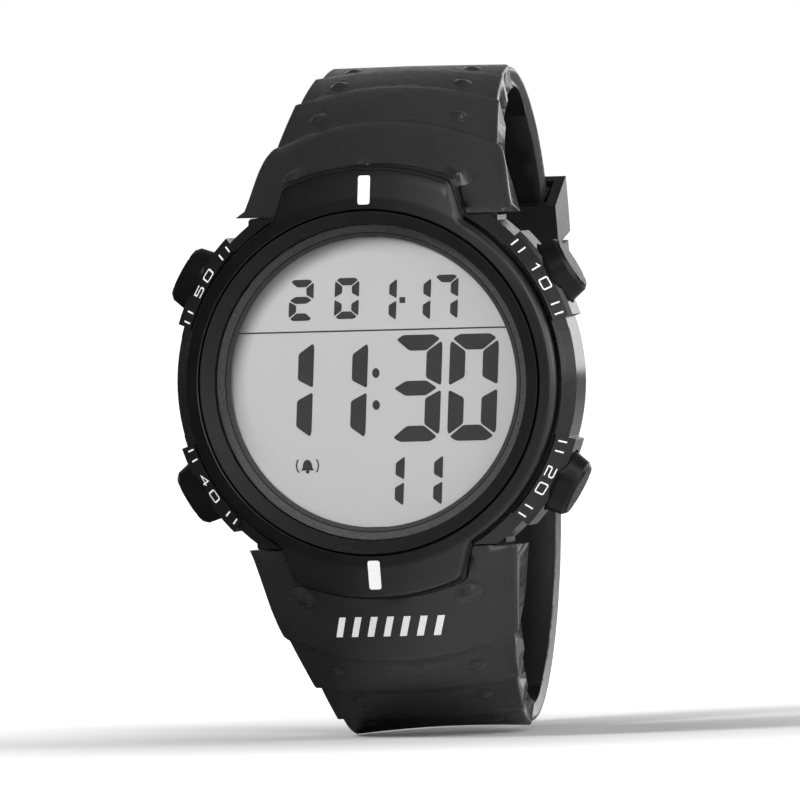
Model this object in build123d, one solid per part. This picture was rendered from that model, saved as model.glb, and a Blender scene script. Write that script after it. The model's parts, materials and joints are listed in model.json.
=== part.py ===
from build123d import *
import math
import os

os.makedirs("parts", exist_ok=True)

# A digital watch on its buckled strap, in millimetres.
# The dial faces -Y, twelve o'clock is +Z and three o'clock is +X.
# The origin is the centre of the case back's flat face. Heights are counted from that
# face towards the dial, radii from the dial's axis, and depths from that face to the wrist.

# Clearances and the overrun of every cut
OVERRUN = 12.0
SEAT_GAP = 0.05
PANEL_GAP = 0.25
RUNNING_GAP = 0.05
SLIDING_GAP = 0.3

# Case body
CASE_RADIUS = 25.0
CASE_SHOULDER_HEIGHT = 9.9
CASE_FACE_HEIGHT = 11.9
CASE_WALL_BASE = 2.8
CASE_RIM_HEIGHT = 0.35
CASE_RIM_WIDTH = 0.8
CASE_FLAT = 20.3
CAVITY_RADIUS = 19.45
NECK_RADIUS = 21.1
NECK_HEIGHT = 13.9
BEZEL_SEAT_HEIGHT = 10.7
BEZEL_SEAT_RADIUS = 23.5
PANEL_RECESS_DEPTH = 0.3
PANEL_RECESS_INNER = 23.9
PANEL_RECESS_ARC = 28.0

# Guard blocks that carry the marks beside each button
GUARD_RADIUS = 25.85
GUARD_INNER = 23.75
GUARD_HEIGHT = 12.0
GUARD_SHOULDER_HEIGHT = 9.9
GUARD_EDGE = 0.45
GUARD_BASE = 3.0
GUARD_START_ANGLE = 17.3
GUARD_END_ANGLE = 44.5

# Crystal, its gasket and the rings round it
CRYSTAL_RADIUS = 20.1
CRYSTAL_THICKNESS = 0.95
CRYSTAL_BASE = 12.9
CRYSTAL_CHAMFER = 0.2
GASKET_WALL = 0.3
RING_LIP_RADIUS = 19.5
RING_LIP_HEIGHT = 14.1
RING_TOP_HEIGHT = 15.45
DIAL_RING_OPENING = 17.9
DIAL_RING_BASE = 11.65
DIAL_RING_LIP_HEIGHT = 11.95
DIAL_RING_TOP_HEIGHT = 12.85

# Bezel and its two wings
BEZEL_HEIGHT = 15.5
BEZEL_EDGE = 0.12
BEZEL_BAND_RADIUS = 22.85
BEZEL_BAND_HEIGHT = 14.35
BEZEL_RADIUS = 23.2
BEZEL_WALL_HEIGHT = 13.5
WING_RADIUS = 26.4
WING_TIP_HALF_WIDTH = 10.0
WING_TIP_ROUND = 1.2
WING_FOOT_HALF_WIDTH = 11.3
WING_FOOT = 20.5
WING_SLOPE = 16.2
WING_BASE = 12.0
WING_EDGE = 0.3
LUG_INSET = 0.3
LUG_BASE = 1.7
MARKER_WIDTH = 1.5
MARKER_LENGTH = 3.7
MARKER_DISTANCE = 23.7
MARKER_THICKNESS = 0.6
MARKER_RISE = 0.06
MARKER_ROUND = 0.3

# Case back, its gasket and screws
BACK_RADIUS = 22.6
BACK_FACE_RADIUS = 18.0
BACK_THICKNESS = 1.5
BACK_STEP_WIDTH = 0.4
BACK_GASKET_INNER = 19.7
BACK_GASKET_WIDTH = 0.7
BACK_GASKET_THICKNESS = 0.5
BACK_SCREW_DISTANCE = 21.5
BACK_SCREW_COUNT = 4
BACK_SCREW_HEAD_RADIUS = 0.75
BACK_SCREW_HEAD_DEPTH = 0.6
BACK_SCREW_RADIUS = 0.4
BACK_SCREW_END = 4.2
SCREW_SLOT_WIDTH = 0.25
SCREW_SLOT_DEPTH = 0.2

# Module inside the case, from the back towards the dial
BUZZER_RADIUS = 10.0
BUZZER_THICKNESS = 0.2
CLIP_BASE = 2.2
CLIP_THICKNESS = 0.25
HOLDER_RADIUS = 16.4
CELL_RADIUS = 10.0
CELL_THICKNESS = 2.5
CELL_STEP = 0.4
CELL_OFFSET = 4.2
HOLDER_TOP = 6.4
CONTACT_WIDTH = 2.2
CONTACT_LENGTH = 6.0
CONTACT_THICKNESS = 0.25
CHIP_SIDE = 6.0
CHIP_THICKNESS = 1.2
CHIP_OFFSET = 10.0
BOARD_THICKNESS = 0.8
FRAME_RADIUS = 19.2
FRAME_TOP = 10.1
ZEBRA_LENGTH = 17.0
ZEBRA_THICKNESS = 1.6
ZEBRA_OFFSET = 12.6
BACKLIGHT_RADIUS = 18.4
BACKLIGHT_THICKNESS = 0.25
LCD_RADIUS = 18.9
LCD_BASE = 10.4
LCD_TOP = 11.6
MODULE_SCREW_DISTANCE = 14.4
MODULE_SCREW_COUNT = 3
MODULE_SCREW_HEAD_RADIUS = 1.0
MODULE_SCREW_HEAD_HEIGHT = 0.4
MODULE_SCREW_RADIUS = 0.5
MODULE_SCREW_END = 9.0
FIRST_MODULE_SCREW_ANGLE = 90.0

# Buttons, seen along their own axis, which is a radius of the dial
BUTTON_ANGLES = {"start": 30.0, "reset": -30.0, "light": 150.0, "mode": 210.0}
BUTTON_AXIS_HEIGHT = 6.2
BUTTON_HALF_WIDTH = 4.0
BUTTON_HALF_HEIGHT = 3.6
BUTTON_INNER = 24.2
BUTTON_OUTER = 28.1
BUTTON_TAPER = 0.35
BUTTON_CHAMFER = 0.5
BUTTON_TRAVEL = 0.9
BUTTON_STOP_GAP = 0.2
RIDGE_COUNT = 5
RIDGE_PITCH = 1.05
RIDGE_WIDTH = 0.35
RIDGE_DEPTH = 0.25
STEM_RADIUS = 1.0
STEM_TIP = 18.5
STEM_NECK_RADIUS = 0.65
CLIP_RING_RADIUS = 1.7
CLIP_RING_THICKNESS = 0.25
CLIP_RING_PLACE = 18.8
SPRING_RADIUS = 1.9
SPRING_WALL = 0.35
SPRING_POCKET_DEPTH = 1.2
SEAL_RADIUS = 1.7
SEAL_THICKNESS = 0.9
SEAL_PLACE = 21.3
LEAF_PLACE = 17.25
LEAF_WIDTH = 3.2
LEAF_THICKNESS = 0.2
NOTCH_WIDTH = 4.6
NOTCH_BASE = 4.0
NOTCH_TOP = 8.4

# Strap, measured from its inner line, which is the line against the wrist
ROOT_PLACE = 20.5
ROOT_DEPTH = 0.2
ROOT_HEADING = 62.0
ROOT_LEAD = 6.5
BACK_CENTRE_DEPTH = 29.0
BACK_CENTRE_RISE = 11.5
WRIST_BACK_RADIUS = 23.4
END_PACES = (1.0, 1.0)
UPPER_LINE_SHARES = ((0.12, 0.27), (0.30, 0.54), (0.66, 0.88))
LOWER_LINE_SHARES = (
    (0.069, -0.215),
    (0.224, -0.427),
    (0.370, -0.603),
    (0.535, -0.723),
    (0.708, -0.674),
    (0.863, -0.423),
    (0.942, -0.176),
    (0.980, 0.106),
    (0.991, 0.406),
    (0.993, 0.700),
)
ROOT_SETBACK = 3.5
SEGMENT_LENGTHS = {"upper": (10.1, 8.8, 8.4, 7.6), "lower": (12.9, 11.1, 9.3, 8.0)}
SEAM_HALF_WIDTHS = {
    "upper": (17.0, 14.1, 12.9, 11.9, 11.2),
    "lower": (16.5, 14.4, 12.9, 11.8, 11.2),
}
SEAM_THICKNESSES = {
    "upper": (6.2, 5.2, 4.2, 3.5, 3.0),
    "lower": (7.8, 5.3, 4.1, 3.5, 3.0),
}
SEAM_CROWNS = (5.0, 3.7, 2.8, 1.8, 0.7)
SCALE_STEP = 0.45
SCALE_LIP = 0.5
SCALE_TUCK = 0.5
STRAP_HALF_WIDTH = 11.0
STRAP_THICKNESS = 2.6
STRAP_CROWN = 0.25
BAND_SECTIONS = 10
STRAP_CORNER = 0.5
ROOT_CORNER = 0.8
UNDERSIDE_BEVEL = 0.4
WING_GAP = 0.45
NOTCH_REACH = 12.0
CRESCENT_RADIUS = 15.0
CRESCENT_DEPTH = 0.7
CRESCENT_PLACE = 0.6

# Dimples: places along a segment are shares of its length, places across it are distances
FIRST_SECTION_SHARES = (0, 0.35, 0.7, 1.0)
SECTION_SHARES = (0, 0.5, 1.0)
DIMPLE_SHARE = 0.36
FIRST_DIMPLE_SHARE = 0.4
DIMPLE_PLACES = (10.4, 8.9, 7.8, 7.5)
BIG_DIMPLE_RADIUS = 1.35
BIG_DIMPLE_DEPTH = 0.42
SMALL_DIMPLE_RADIUS = 0.9
SMALL_DIMPLE_DEPTH = 0.32
DIMPLE_FLARE = 0.3
DIMPLE_DOME_SHARE = 0.5

# Spring bars that pin the strap to the case lugs
SPRING_BAR_RADIUS = 0.75
SPRING_BAR_HEIGHT = 5.0
SPRING_BAR_DISTANCE = 23.5
SPRING_BAR_BITE = 2.3

# Buckle, keepers and tail
TAIL_THICKNESS = 2.4
TAIL_LIFT = 0.5
TAIL_START_ANGLE = -8.0
TAIL_TIP_ANGLE = 25.0
TAIL_TIP_ROUND = 6.0
PIN_ANGLE = -4.0
PIN_RADIUS = 0.75
KNUCKLE_RADIUS = 1.45
PIN_END_GAP = 0.1
HOLE_COUNT = 9
HOLE_PITCH = 6.2
HOLE_WIDTH = 2.4
HOLE_LENGTH = 4.2
HOLE_DROP = 0.6
ARM_GAP = 0.4
ARM_WIDTH = 1.7
ARM_PIN_RADIUS = 1.6
ARM_BAR_RADIUS = 1.35
BAR_RADIUS = 1.2
BAR_DROP = 13.6
BAR_SETBACK = 5.4
TONGUE_WIDTH = 1.8
TONGUE_SLOT_WIDTH = 2.6
TONGUE_THICKNESS = 1.2
TONGUE_RISE = 4.9
TONGUE_SLANT = 2.1
TONGUE_OVERHANG = 0.9
KEEPER_WALL = 1.3
FIXED_KEEPER_START = 0.5
FIXED_KEEPER_END = 8.5
FREE_KEEPER_START = 10.5
FREE_KEEPER_END = 27.0

# Sizes that follow from those above
CLOCK_SIDES = {"upper": 1, "lower": -1}
LEDGE_HEIGHT = CRYSTAL_BASE - GASKET_WALL
CRYSTAL_BORE = CRYSTAL_RADIUS + GASKET_WALL + SEAT_GAP + SEAT_GAP
BACK_RECESS_RADIUS = BACK_RADIUS + SEAT_GAP
CASE_RIM_RADIUS = BACK_RECESS_RADIUS + CASE_RIM_WIDTH
BEZEL_BORE = NECK_RADIUS + PANEL_GAP
CELL_BASE = CLIP_BASE + CLIP_THICKNESS + SEAT_GAP
FRAME_BASE = BACK_THICKNESS + SEAT_GAP
BOARD_BASE = HOLDER_TOP + SEAT_GAP
BOARD_TOP = BOARD_BASE + BOARD_THICKNESS
DECK_BASE = BOARD_TOP + SEAT_GAP
WELL_FLOOR = BUTTON_INNER - BUTTON_TRAVEL - BUTTON_STOP_GAP
PIN_PLACE_RADIUS = WRIST_BACK_RADIUS + STRAP_THICKNESS / 2
TAIL_RADIUS = WRIST_BACK_RADIUS + STRAP_THICKNESS + TAIL_LIFT
TAIL_OUTER_RADIUS = TAIL_RADIUS + TAIL_THICKNESS
ARM_INNER = STRAP_HALF_WIDTH + ARM_GAP
ARM_OUTER = ARM_INNER + ARM_WIDTH
BODY_DEPTH = BACK_CENTRE_DEPTH + TAIL_OUTER_RADIUS


def dial_plane(height):
    """Plane across the dial's axis at a height, with X to three o'clock and Y to twelve."""
    return Plane(origin=(0, -height, 0), x_dir=(1, 0, 0), z_dir=(0, -1, 0))


def radial_plane(radius, height):
    """Plane across the radius to three o'clock: X runs to twelve o'clock, Y to the dial."""
    return Plane(origin=(radius, -height, 0), x_dir=(0, 0, 1), z_dir=(1, 0, 0))


def prism(sketch, low, high):
    """Extrude a plan of the watch between two heights."""
    return extrude(dial_plane(low) * sketch, high - low)


def disc(radius, low, high):
    """Round plate on the dial's axis."""
    return prism(Circle(radius), low, high)


def tube(outer, inner, low, high):
    """Ring of square section on the dial's axis."""
    return prism(Circle(outer) - Circle(inner), low, high)


def turned(outline, arc=360.0):
    """Turn an outline of (radius, height) points round the dial's axis."""
    corners = [(radius, -height) for radius, height in outline]
    return revolve(make_face(Polyline(*corners, close=True)), Axis.Y, arc)


def clocked(angle):
    """Turn from three o'clock towards twelve by an angle."""
    return Rot(0, -angle, 0)


def stem_disc(radius, inner, outer, bore=0):
    """Round piece on the axis of a button, between two distances from the dial's axis."""
    outline = Circle(radius)
    if bore:
        outline = outline - Circle(bore)
    return extrude(radial_plane(inner, BUTTON_AXIS_HEIGHT) * outline, outer - inner)


def spread(count, first_angle):
    """Angles of a number of pieces spread evenly round the dial."""
    return [first_angle + 360.0 * index / count for index in range(count)]


def screw(distance, head_radius, head_low, head_high, radius, end):
    """Slotted screw, head towards the wrist."""
    place = Pos(distance, 0)
    body = prism(place * Circle(head_radius), head_low, head_high)
    body += prism(place * Circle(radius), head_high, end)
    slot = prism(place * Rectangle(head_radius * 3, SCREW_SLOT_WIDTH), head_low, head_low + SCREW_SLOT_DEPTH)
    return body - slot


def wing_outline(margin):
    """Plan of the bezel wing at twelve o'clock, grown by a margin all round."""
    radius = WING_RADIUS + margin
    tip_half = WING_TIP_HALF_WIDTH + margin
    foot_half = WING_FOOT_HALF_WIDTH + margin
    tip_place = math.sqrt(radius**2 - tip_half**2)
    edges = [
        Line((foot_half, WING_FOOT), (tip_half, tip_place)),
        ThreePointArc((tip_half, tip_place), (0, radius), (-tip_half, tip_place)),
        Line((-tip_half, tip_place), (-foot_half, WING_FOOT)),
        Line((-foot_half, WING_FOOT), (foot_half, WING_FOOT)),
    ]
    plan = make_face(edges)
    tips = plan.vertices().sort_by(Axis.Y)[-2:]
    return fillet(tips, WING_TIP_ROUND)


def on_both_ends(solid):
    """The solid at twelve o'clock and its mirror image at six."""
    return solid + mirror(solid, Plane.XY)


def marker_plane(side, rise):
    """Plane of a wing's sloping face at its index marker."""
    slope = math.radians(WING_SLOPE)
    height = BEZEL_HEIGHT - (MARKER_DISTANCE - BEZEL_BORE) * math.tan(slope)
    outward = (0, -math.cos(slope), side * math.sin(slope))
    origin = (0, -height + outward[1] * rise, side * MARKER_DISTANCE + outward[2] * rise)
    return Plane(origin=origin, x_dir=(1, 0, 0), z_dir=outward)


def marker(side, gap=0):
    """White index marker let into a wing of the bezel, or the pocket for it."""
    outline = RectangleRounded(MARKER_WIDTH + 2 * gap, MARKER_LENGTH + 2 * gap, MARKER_ROUND)
    plane = marker_plane(side, MARKER_RISE - MARKER_THICKNESS - gap)
    return extrude(plane * outline, MARKER_THICKNESS + gap)


def bezel():
    """Outer ring of the bezel with a wing at twelve and at six o'clock."""
    ring = turned([
        (BEZEL_BORE, BEZEL_SEAT_HEIGHT + SEAT_GAP),
        (BEZEL_RADIUS, BEZEL_SEAT_HEIGHT + SEAT_GAP),
        (BEZEL_RADIUS, BEZEL_WALL_HEIGHT),
        (BEZEL_BAND_RADIUS, BEZEL_BAND_HEIGHT),
        (BEZEL_BORE + BEZEL_EDGE, BEZEL_HEIGHT),
        (BEZEL_BORE, BEZEL_HEIGHT - BEZEL_EDGE),
    ])
    slope = math.tan(math.radians(WING_SLOPE))
    rim = WING_RADIUS + WING_EDGE
    cone = turned([
        (0, WING_BASE),
        (rim, WING_BASE),
        (rim, BEZEL_HEIGHT - (rim - BEZEL_BORE) * slope),
        (BEZEL_BORE, BEZEL_HEIGHT),
        (0, BEZEL_HEIGHT),
    ])
    wing = prism(wing_outline(0), WING_BASE, BEZEL_HEIGHT + OVERRUN) & cone
    rim_edges = wing.edges().filter_by(lambda edge: edge.center().Y < -WING_BASE - WING_EDGE)
    outer_edges = rim_edges.filter_by(lambda edge: edge.center().Z > WING_FOOT + WING_EDGE)
    wing = fillet(outer_edges.filter_by(lambda edge: abs(edge.tangent_at(0.5).Y) < 0.6), WING_EDGE)
    body = ring + on_both_ends(wing)
    body -= disc(BEZEL_BORE, 0, BEZEL_HEIGHT + OVERRUN)
    for side in CLOCK_SIDES.values():
        body -= marker(side, SEAT_GAP) + marker(side, SEAT_GAP).moved(Location(marker_plane(side, 0).z_dir * MARKER_THICKNESS))
    return body


def crystal_ring():
    """Dark cone between the crystal and the bezel."""
    return turned([
        (RING_LIP_RADIUS, NECK_HEIGHT + SEAT_GAP),
        (NECK_RADIUS, NECK_HEIGHT + SEAT_GAP),
        (NECK_RADIUS, RING_TOP_HEIGHT),
        (NECK_RADIUS - BEZEL_EDGE, RING_TOP_HEIGHT),
        (RING_LIP_RADIUS, RING_LIP_HEIGHT),
    ])


def crystal():
    """Round window with a small chamfer round its front edge."""
    top = CRYSTAL_BASE + CRYSTAL_THICKNESS
    return turned([
        (0, CRYSTAL_BASE),
        (CRYSTAL_RADIUS, CRYSTAL_BASE),
        (CRYSTAL_RADIUS, top - CRYSTAL_CHAMFER),
        (CRYSTAL_RADIUS - CRYSTAL_CHAMFER, top),
        (0, top),
    ])


def crystal_gasket():
    """L section gasket under and round the crystal."""
    outer = CRYSTAL_RADIUS + SEAT_GAP + GASKET_WALL
    return turned([
        (CAVITY_RADIUS + SEAT_GAP, LEDGE_HEIGHT),
        (outer, LEDGE_HEIGHT),
        (outer, CRYSTAL_BASE + CRYSTAL_THICKNESS - CRYSTAL_CHAMFER),
        (CRYSTAL_RADIUS + SEAT_GAP, CRYSTAL_BASE + CRYSTAL_THICKNESS - CRYSTAL_CHAMFER),
        (CRYSTAL_RADIUS + SEAT_GAP, CRYSTAL_BASE),
        (CAVITY_RADIUS + SEAT_GAP, CRYSTAL_BASE),
    ])


def dial_ring():
    """Grey ring under the crystal that frames the display."""
    outer = CAVITY_RADIUS - SEAT_GAP
    return turned([
        (DIAL_RING_OPENING, DIAL_RING_BASE),
        (outer, DIAL_RING_BASE),
        (outer, DIAL_RING_TOP_HEIGHT),
        (DIAL_RING_OPENING, DIAL_RING_LIP_HEIGHT),
    ])


def case_shell():
    """Turned body of the case, open at the back and at the crystal."""
    gasket_outer = BACK_GASKET_INNER + BACK_GASKET_WIDTH
    groove_top = BACK_THICKNESS + BACK_GASKET_THICKNESS
    return turned([
        (CAVITY_RADIUS, LEDGE_HEIGHT),
        (CRYSTAL_BORE, LEDGE_HEIGHT),
        (CRYSTAL_BORE, NECK_HEIGHT),
        (NECK_RADIUS, NECK_HEIGHT),
        (NECK_RADIUS, BEZEL_SEAT_HEIGHT),
        (BEZEL_SEAT_RADIUS, BEZEL_SEAT_HEIGHT),
        (BEZEL_SEAT_RADIUS, CASE_FACE_HEIGHT),
        (CASE_RADIUS, CASE_SHOULDER_HEIGHT),
        (CASE_RADIUS, CASE_WALL_BASE),
        (CASE_RIM_RADIUS, CASE_RIM_HEIGHT),
        (BACK_RECESS_RADIUS, CASE_RIM_HEIGHT),
        (BACK_RECESS_RADIUS, BACK_THICKNESS),
        (gasket_outer, BACK_THICKNESS),
        (gasket_outer, groove_top),
        (BACK_GASKET_INNER, groove_top),
        (BACK_GASKET_INNER, BACK_THICKNESS),
        (CAVITY_RADIUS, BACK_THICKNESS),
    ])


def guard_block(end_angle):
    """Raised block on the case wall that ends at an angle."""
    arc = GUARD_END_ANGLE - GUARD_START_ANGLE
    block = turned([
        (GUARD_INNER, GUARD_BASE),
        (GUARD_RADIUS - GUARD_EDGE, GUARD_BASE),
        (GUARD_RADIUS, GUARD_BASE + GUARD_EDGE),
        (GUARD_RADIUS, GUARD_SHOULDER_HEIGHT - GUARD_EDGE),
        (GUARD_RADIUS - GUARD_EDGE, GUARD_SHOULDER_HEIGHT),
        (GUARD_INNER, GUARD_HEIGHT),
    ], arc)
    return clocked(end_angle) * block


def panel_recess(middle_angle):
    """Shallow recess in the case face between two guard blocks."""
    fall = (CASE_FACE_HEIGHT - CASE_SHOULDER_HEIGHT) / (CASE_RADIUS - BEZEL_SEAT_RADIUS)
    inner_height = CASE_FACE_HEIGHT - (PANEL_RECESS_INNER - BEZEL_SEAT_RADIUS) * fall
    tool = turned([
        (PANEL_RECESS_INNER, inner_height - PANEL_RECESS_DEPTH),
        (PANEL_RECESS_INNER, inner_height + OVERRUN),
        (CASE_RADIUS + OVERRUN, inner_height + OVERRUN),
        (CASE_RADIUS + OVERRUN, CASE_SHOULDER_HEIGHT - PANEL_RECESS_DEPTH - OVERRUN * fall),
    ], PANEL_RECESS_ARC)
    return clocked(middle_angle + PANEL_RECESS_ARC / 2) * tool


def case_lug():
    """Block under each wing that takes the strap's spring bar."""
    block = prism(wing_outline(-LUG_INSET), LUG_BASE, WING_BASE - SEAT_GAP)
    bottom = block.edges().filter_by(lambda edge: edge.center().Y > -LUG_BASE - SEAT_GAP)
    block = chamfer(bottom.sort_by(Axis.Z)[-1:], GUARD_EDGE)
    return block - disc(BEZEL_SEAT_RADIUS, 0, WING_BASE)


def button_well():
    """Room in the case wall for a button's cap, stem and seal."""
    oval = Ellipse(BUTTON_HALF_WIDTH + PANEL_GAP, BUTTON_HALF_HEIGHT + PANEL_GAP)
    well = extrude(radial_plane(WELL_FLOOR, BUTTON_AXIS_HEIGHT) * oval, OVERRUN)
    well += stem_disc(STEM_RADIUS + RUNNING_GAP, CAVITY_RADIUS - OVERRUN / 2, WELL_FLOOR)
    well += stem_disc(SEAL_RADIUS + SEAT_GAP, SEAL_PLACE, SEAL_PLACE + SEAL_THICKNESS)
    return well


def case_body():
    """Resin case with lugs, guard blocks, button wells and screw holes."""
    body = case_shell()
    flat_cut = prism(Pos(0, CASE_FLAT + OVERRUN / 2) * Rectangle(CASE_RADIUS * 2, OVERRUN), 0, NECK_HEIGHT)
    foot = Pos(0, WING_FOOT / 2) * Rectangle(2 * (WING_FOOT_HALF_WIDTH - LUG_INSET), WING_FOOT)
    flat_cut -= prism(wing_outline(-LUG_INSET) + foot, 0, NECK_HEIGHT)
    body -= on_both_ends(flat_cut)
    body += on_both_ends(case_lug())
    for middle in (0, 180.0):
        body += guard_block(middle + GUARD_END_ANGLE) + guard_block(middle - GUARD_START_ANGLE)
        body -= panel_recess(middle)
    for angle in BUTTON_ANGLES.values():
        body -= clocked(angle) * button_well()
    hole = prism(Pos(BACK_SCREW_DISTANCE, 0) * Circle(BACK_SCREW_RADIUS + SEAT_GAP), 0, BACK_SCREW_END + SEAT_GAP)
    for angle in spread(BACK_SCREW_COUNT, 45.0):
        body -= clocked(angle) * hole
    body -= on_both_ends(spring_bar_hole(STRAP_HALF_WIDTH))
    return body


def spring_bar_hole(half_length):
    """Bore along X for a spring bar."""
    place = Plane(origin=(-half_length, -SPRING_BAR_HEIGHT, SPRING_BAR_DISTANCE), z_dir=(1, 0, 0))
    return extrude(place * Circle(SPRING_BAR_RADIUS + SEAT_GAP), half_length * 2)


def spring_bar_half_length():
    """Half the length of a spring bar, which bites into the strap on both sides."""
    return WING_TIP_HALF_WIDTH + WING_GAP + SPRING_BAR_BITE


def spring_bar(side):
    """Spring bar with its two shoulders."""
    half = spring_bar_half_length()
    place = Plane(origin=(-half, -SPRING_BAR_HEIGHT, side * SPRING_BAR_DISTANCE), z_dir=(1, 0, 0))
    return extrude(place * Circle(SPRING_BAR_RADIUS), half * 2)


def case_back():
    """Screwed steel back with a raised flat face."""
    body = turned([
        (0, 0),
        (BACK_FACE_RADIUS, 0),
        (BACK_FACE_RADIUS + BACK_STEP_WIDTH, CASE_RIM_HEIGHT),
        (BACK_RADIUS, CASE_RIM_HEIGHT),
        (BACK_RADIUS, BACK_THICKNESS),
        (0, BACK_THICKNESS),
    ])
    place = Pos(BACK_SCREW_DISTANCE, 0)
    head = CASE_RIM_HEIGHT + BACK_SCREW_HEAD_DEPTH
    hole = prism(place * Circle(BACK_SCREW_HEAD_RADIUS + SEAT_GAP), 0, head)
    hole += prism(place * Circle(BACK_SCREW_RADIUS + SEAT_GAP), 0, BACK_THICKNESS)
    for angle in spread(BACK_SCREW_COUNT, 45.0):
        body -= clocked(angle) * hole
    return body


def back_gasket():
    """Flat ring between the case and its back."""
    outer = BACK_GASKET_INNER + BACK_GASKET_WIDTH - SEAT_GAP
    top = BACK_THICKNESS + BACK_GASKET_THICKNESS - SEAT_GAP
    return tube(outer, BACK_GASKET_INNER + SEAT_GAP, BACK_THICKNESS, top)


def back_screws():
    """Four small screws in the case back."""
    head = CASE_RIM_HEIGHT + BACK_SCREW_HEAD_DEPTH
    one = screw(BACK_SCREW_DISTANCE, BACK_SCREW_HEAD_RADIUS, CASE_RIM_HEIGHT + SEAT_GAP, head, BACK_SCREW_RADIUS, BACK_SCREW_END)
    return Compound([clocked(angle) * one for angle in spread(BACK_SCREW_COUNT, 45.0)])


def module_screw_holes(low, high):
    """Clearance holes for the module's screws."""
    hole = prism(Pos(MODULE_SCREW_DISTANCE, 0) * Circle(MODULE_SCREW_RADIUS + SEAT_GAP), low, high)
    angles = spread(MODULE_SCREW_COUNT, FIRST_MODULE_SCREW_ANGLE)
    return [clocked(angle) * hole for angle in angles]


def module_screws():
    """Three screws that hold the module together."""
    head = CLIP_BASE - MODULE_SCREW_HEAD_HEIGHT
    one = screw(MODULE_SCREW_DISTANCE, MODULE_SCREW_HEAD_RADIUS, head, CLIP_BASE, MODULE_SCREW_RADIUS, MODULE_SCREW_END)
    angles = spread(MODULE_SCREW_COUNT, FIRST_MODULE_SCREW_ANGLE)
    return Compound([clocked(angle) * one for angle in angles])


def battery_clip():
    """Sprung steel plate over the coin cell."""
    plate = disc(HOLDER_RADIUS, CLIP_BASE, CLIP_BASE + CLIP_THICKNESS)
    window = prism(Pos(0, -CELL_OFFSET) * Circle(CELL_RADIUS / 2), CLIP_BASE, CLIP_BASE + CLIP_THICKNESS)
    plate -= window
    for hole in module_screw_holes(CLIP_BASE, CLIP_BASE + CLIP_THICKNESS):
        plate -= hole
    return plate


def coin_cell():
    """Coin cell with its stepped case."""
    cell = disc(CELL_RADIUS, CELL_BASE, CELL_BASE + CELL_THICKNESS - CELL_STEP)
    cell += disc(CELL_RADIUS - CELL_STEP * 2, CELL_BASE, CELL_BASE + CELL_THICKNESS)
    return Pos(0, 0, -CELL_OFFSET) * cell


def battery_holder():
    """Spacer behind the board with openings for the cell and the chip."""
    base = CLIP_BASE + CLIP_THICKNESS + SEAT_GAP
    body = disc(HOLDER_RADIUS, base, HOLDER_TOP)
    body -= prism(Pos(0, -CELL_OFFSET) * Circle(CELL_RADIUS + SEAT_GAP), 0, HOLDER_TOP)
    chip_side = CHIP_SIDE + SEAT_GAP * 2
    body -= prism(Pos(0, CHIP_OFFSET) * Rectangle(chip_side, chip_side), 0, HOLDER_TOP)
    for hole in module_screw_holes(base, HOLDER_TOP):
        body -= hole
    return body


def battery_contact():
    """Bent strip that carries the cell's current to the board."""
    cell_top = CELL_BASE + CELL_THICKNESS + SEAT_GAP
    plane = Plane.YZ.offset(-CONTACT_WIDTH / 2)
    low = (-cell_top, -CELL_OFFSET)
    high = (-HOLDER_TOP, -CELL_OFFSET + CONTACT_LENGTH)
    strip = Polyline(
        low,
        (low[0], low[1] + CONTACT_LENGTH / 3),
        (high[0] + CONTACT_THICKNESS, high[1] - CONTACT_LENGTH / 3),
        (high[0] + CONTACT_THICKNESS, high[1]),
        (high[0], high[1]),
        (high[0], high[1] - CONTACT_LENGTH / 3 - CONTACT_THICKNESS),
        (low[0] - CONTACT_THICKNESS, low[1] + CONTACT_LENGTH / 3),
        (low[0] - CONTACT_THICKNESS, low[1]),
        close=True,
    )
    return extrude(plane * make_face(strip), CONTACT_WIDTH)


def processor_chip():
    """Square chip under the board."""
    return prism(Pos(0, CHIP_OFFSET) * Rectangle(CHIP_SIDE, CHIP_SIDE), HOLDER_TOP - CHIP_THICKNESS, HOLDER_TOP)


def circuit_board():
    """Round board between the battery holder and the module frame."""
    board = disc(HOLDER_RADIUS, BOARD_BASE, BOARD_TOP)
    for hole in module_screw_holes(BOARD_BASE, BOARD_TOP):
        board -= hole
    return board


def button_notch():
    """Notch in the module frame behind a button's stem."""
    height = NOTCH_TOP - NOTCH_BASE
    middle = (NOTCH_TOP + NOTCH_BASE) / 2
    return extrude(radial_plane(LEAF_PLACE, middle) * Rectangle(NOTCH_WIDTH, height), OVERRUN)


def zebra_slot(gap):
    """One conductive strip between board and display, or the slot for it."""
    outline = Rectangle(ZEBRA_LENGTH + gap * 2, ZEBRA_THICKNESS + gap * 2)
    return prism(Pos(0, ZEBRA_OFFSET) * outline, DECK_BASE - gap, LCD_BASE - SEAT_GAP + gap)


def module_frame():
    """Plastic frame that carries the display, the board and the switch leaves."""
    body = disc(FRAME_RADIUS, FRAME_BASE, FRAME_TOP)
    body -= disc(HOLDER_RADIUS + SEAT_GAP * 2, 0, DECK_BASE)
    body -= on_both_ends(zebra_slot(SEAT_GAP))
    for angle in BUTTON_ANGLES.values():
        body -= clocked(angle) * button_notch()
    for hole in module_screw_holes(DECK_BASE, MODULE_SCREW_END + SEAT_GAP):
        body -= hole
    return body


def backlight_panel():
    """Thin lighting sheet behind the display, cut short for the conductive strips."""
    sheet = disc(BACKLIGHT_RADIUS, FRAME_TOP + SEAT_GAP, FRAME_TOP + SEAT_GAP * 2 + BACKLIGHT_THICKNESS - SEAT_GAP)
    reach = ZEBRA_OFFSET - ZEBRA_THICKNESS
    keep = prism(Rectangle(BACKLIGHT_RADIUS * 2, reach * 2), FRAME_TOP, LCD_BASE)
    return sheet & keep


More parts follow.
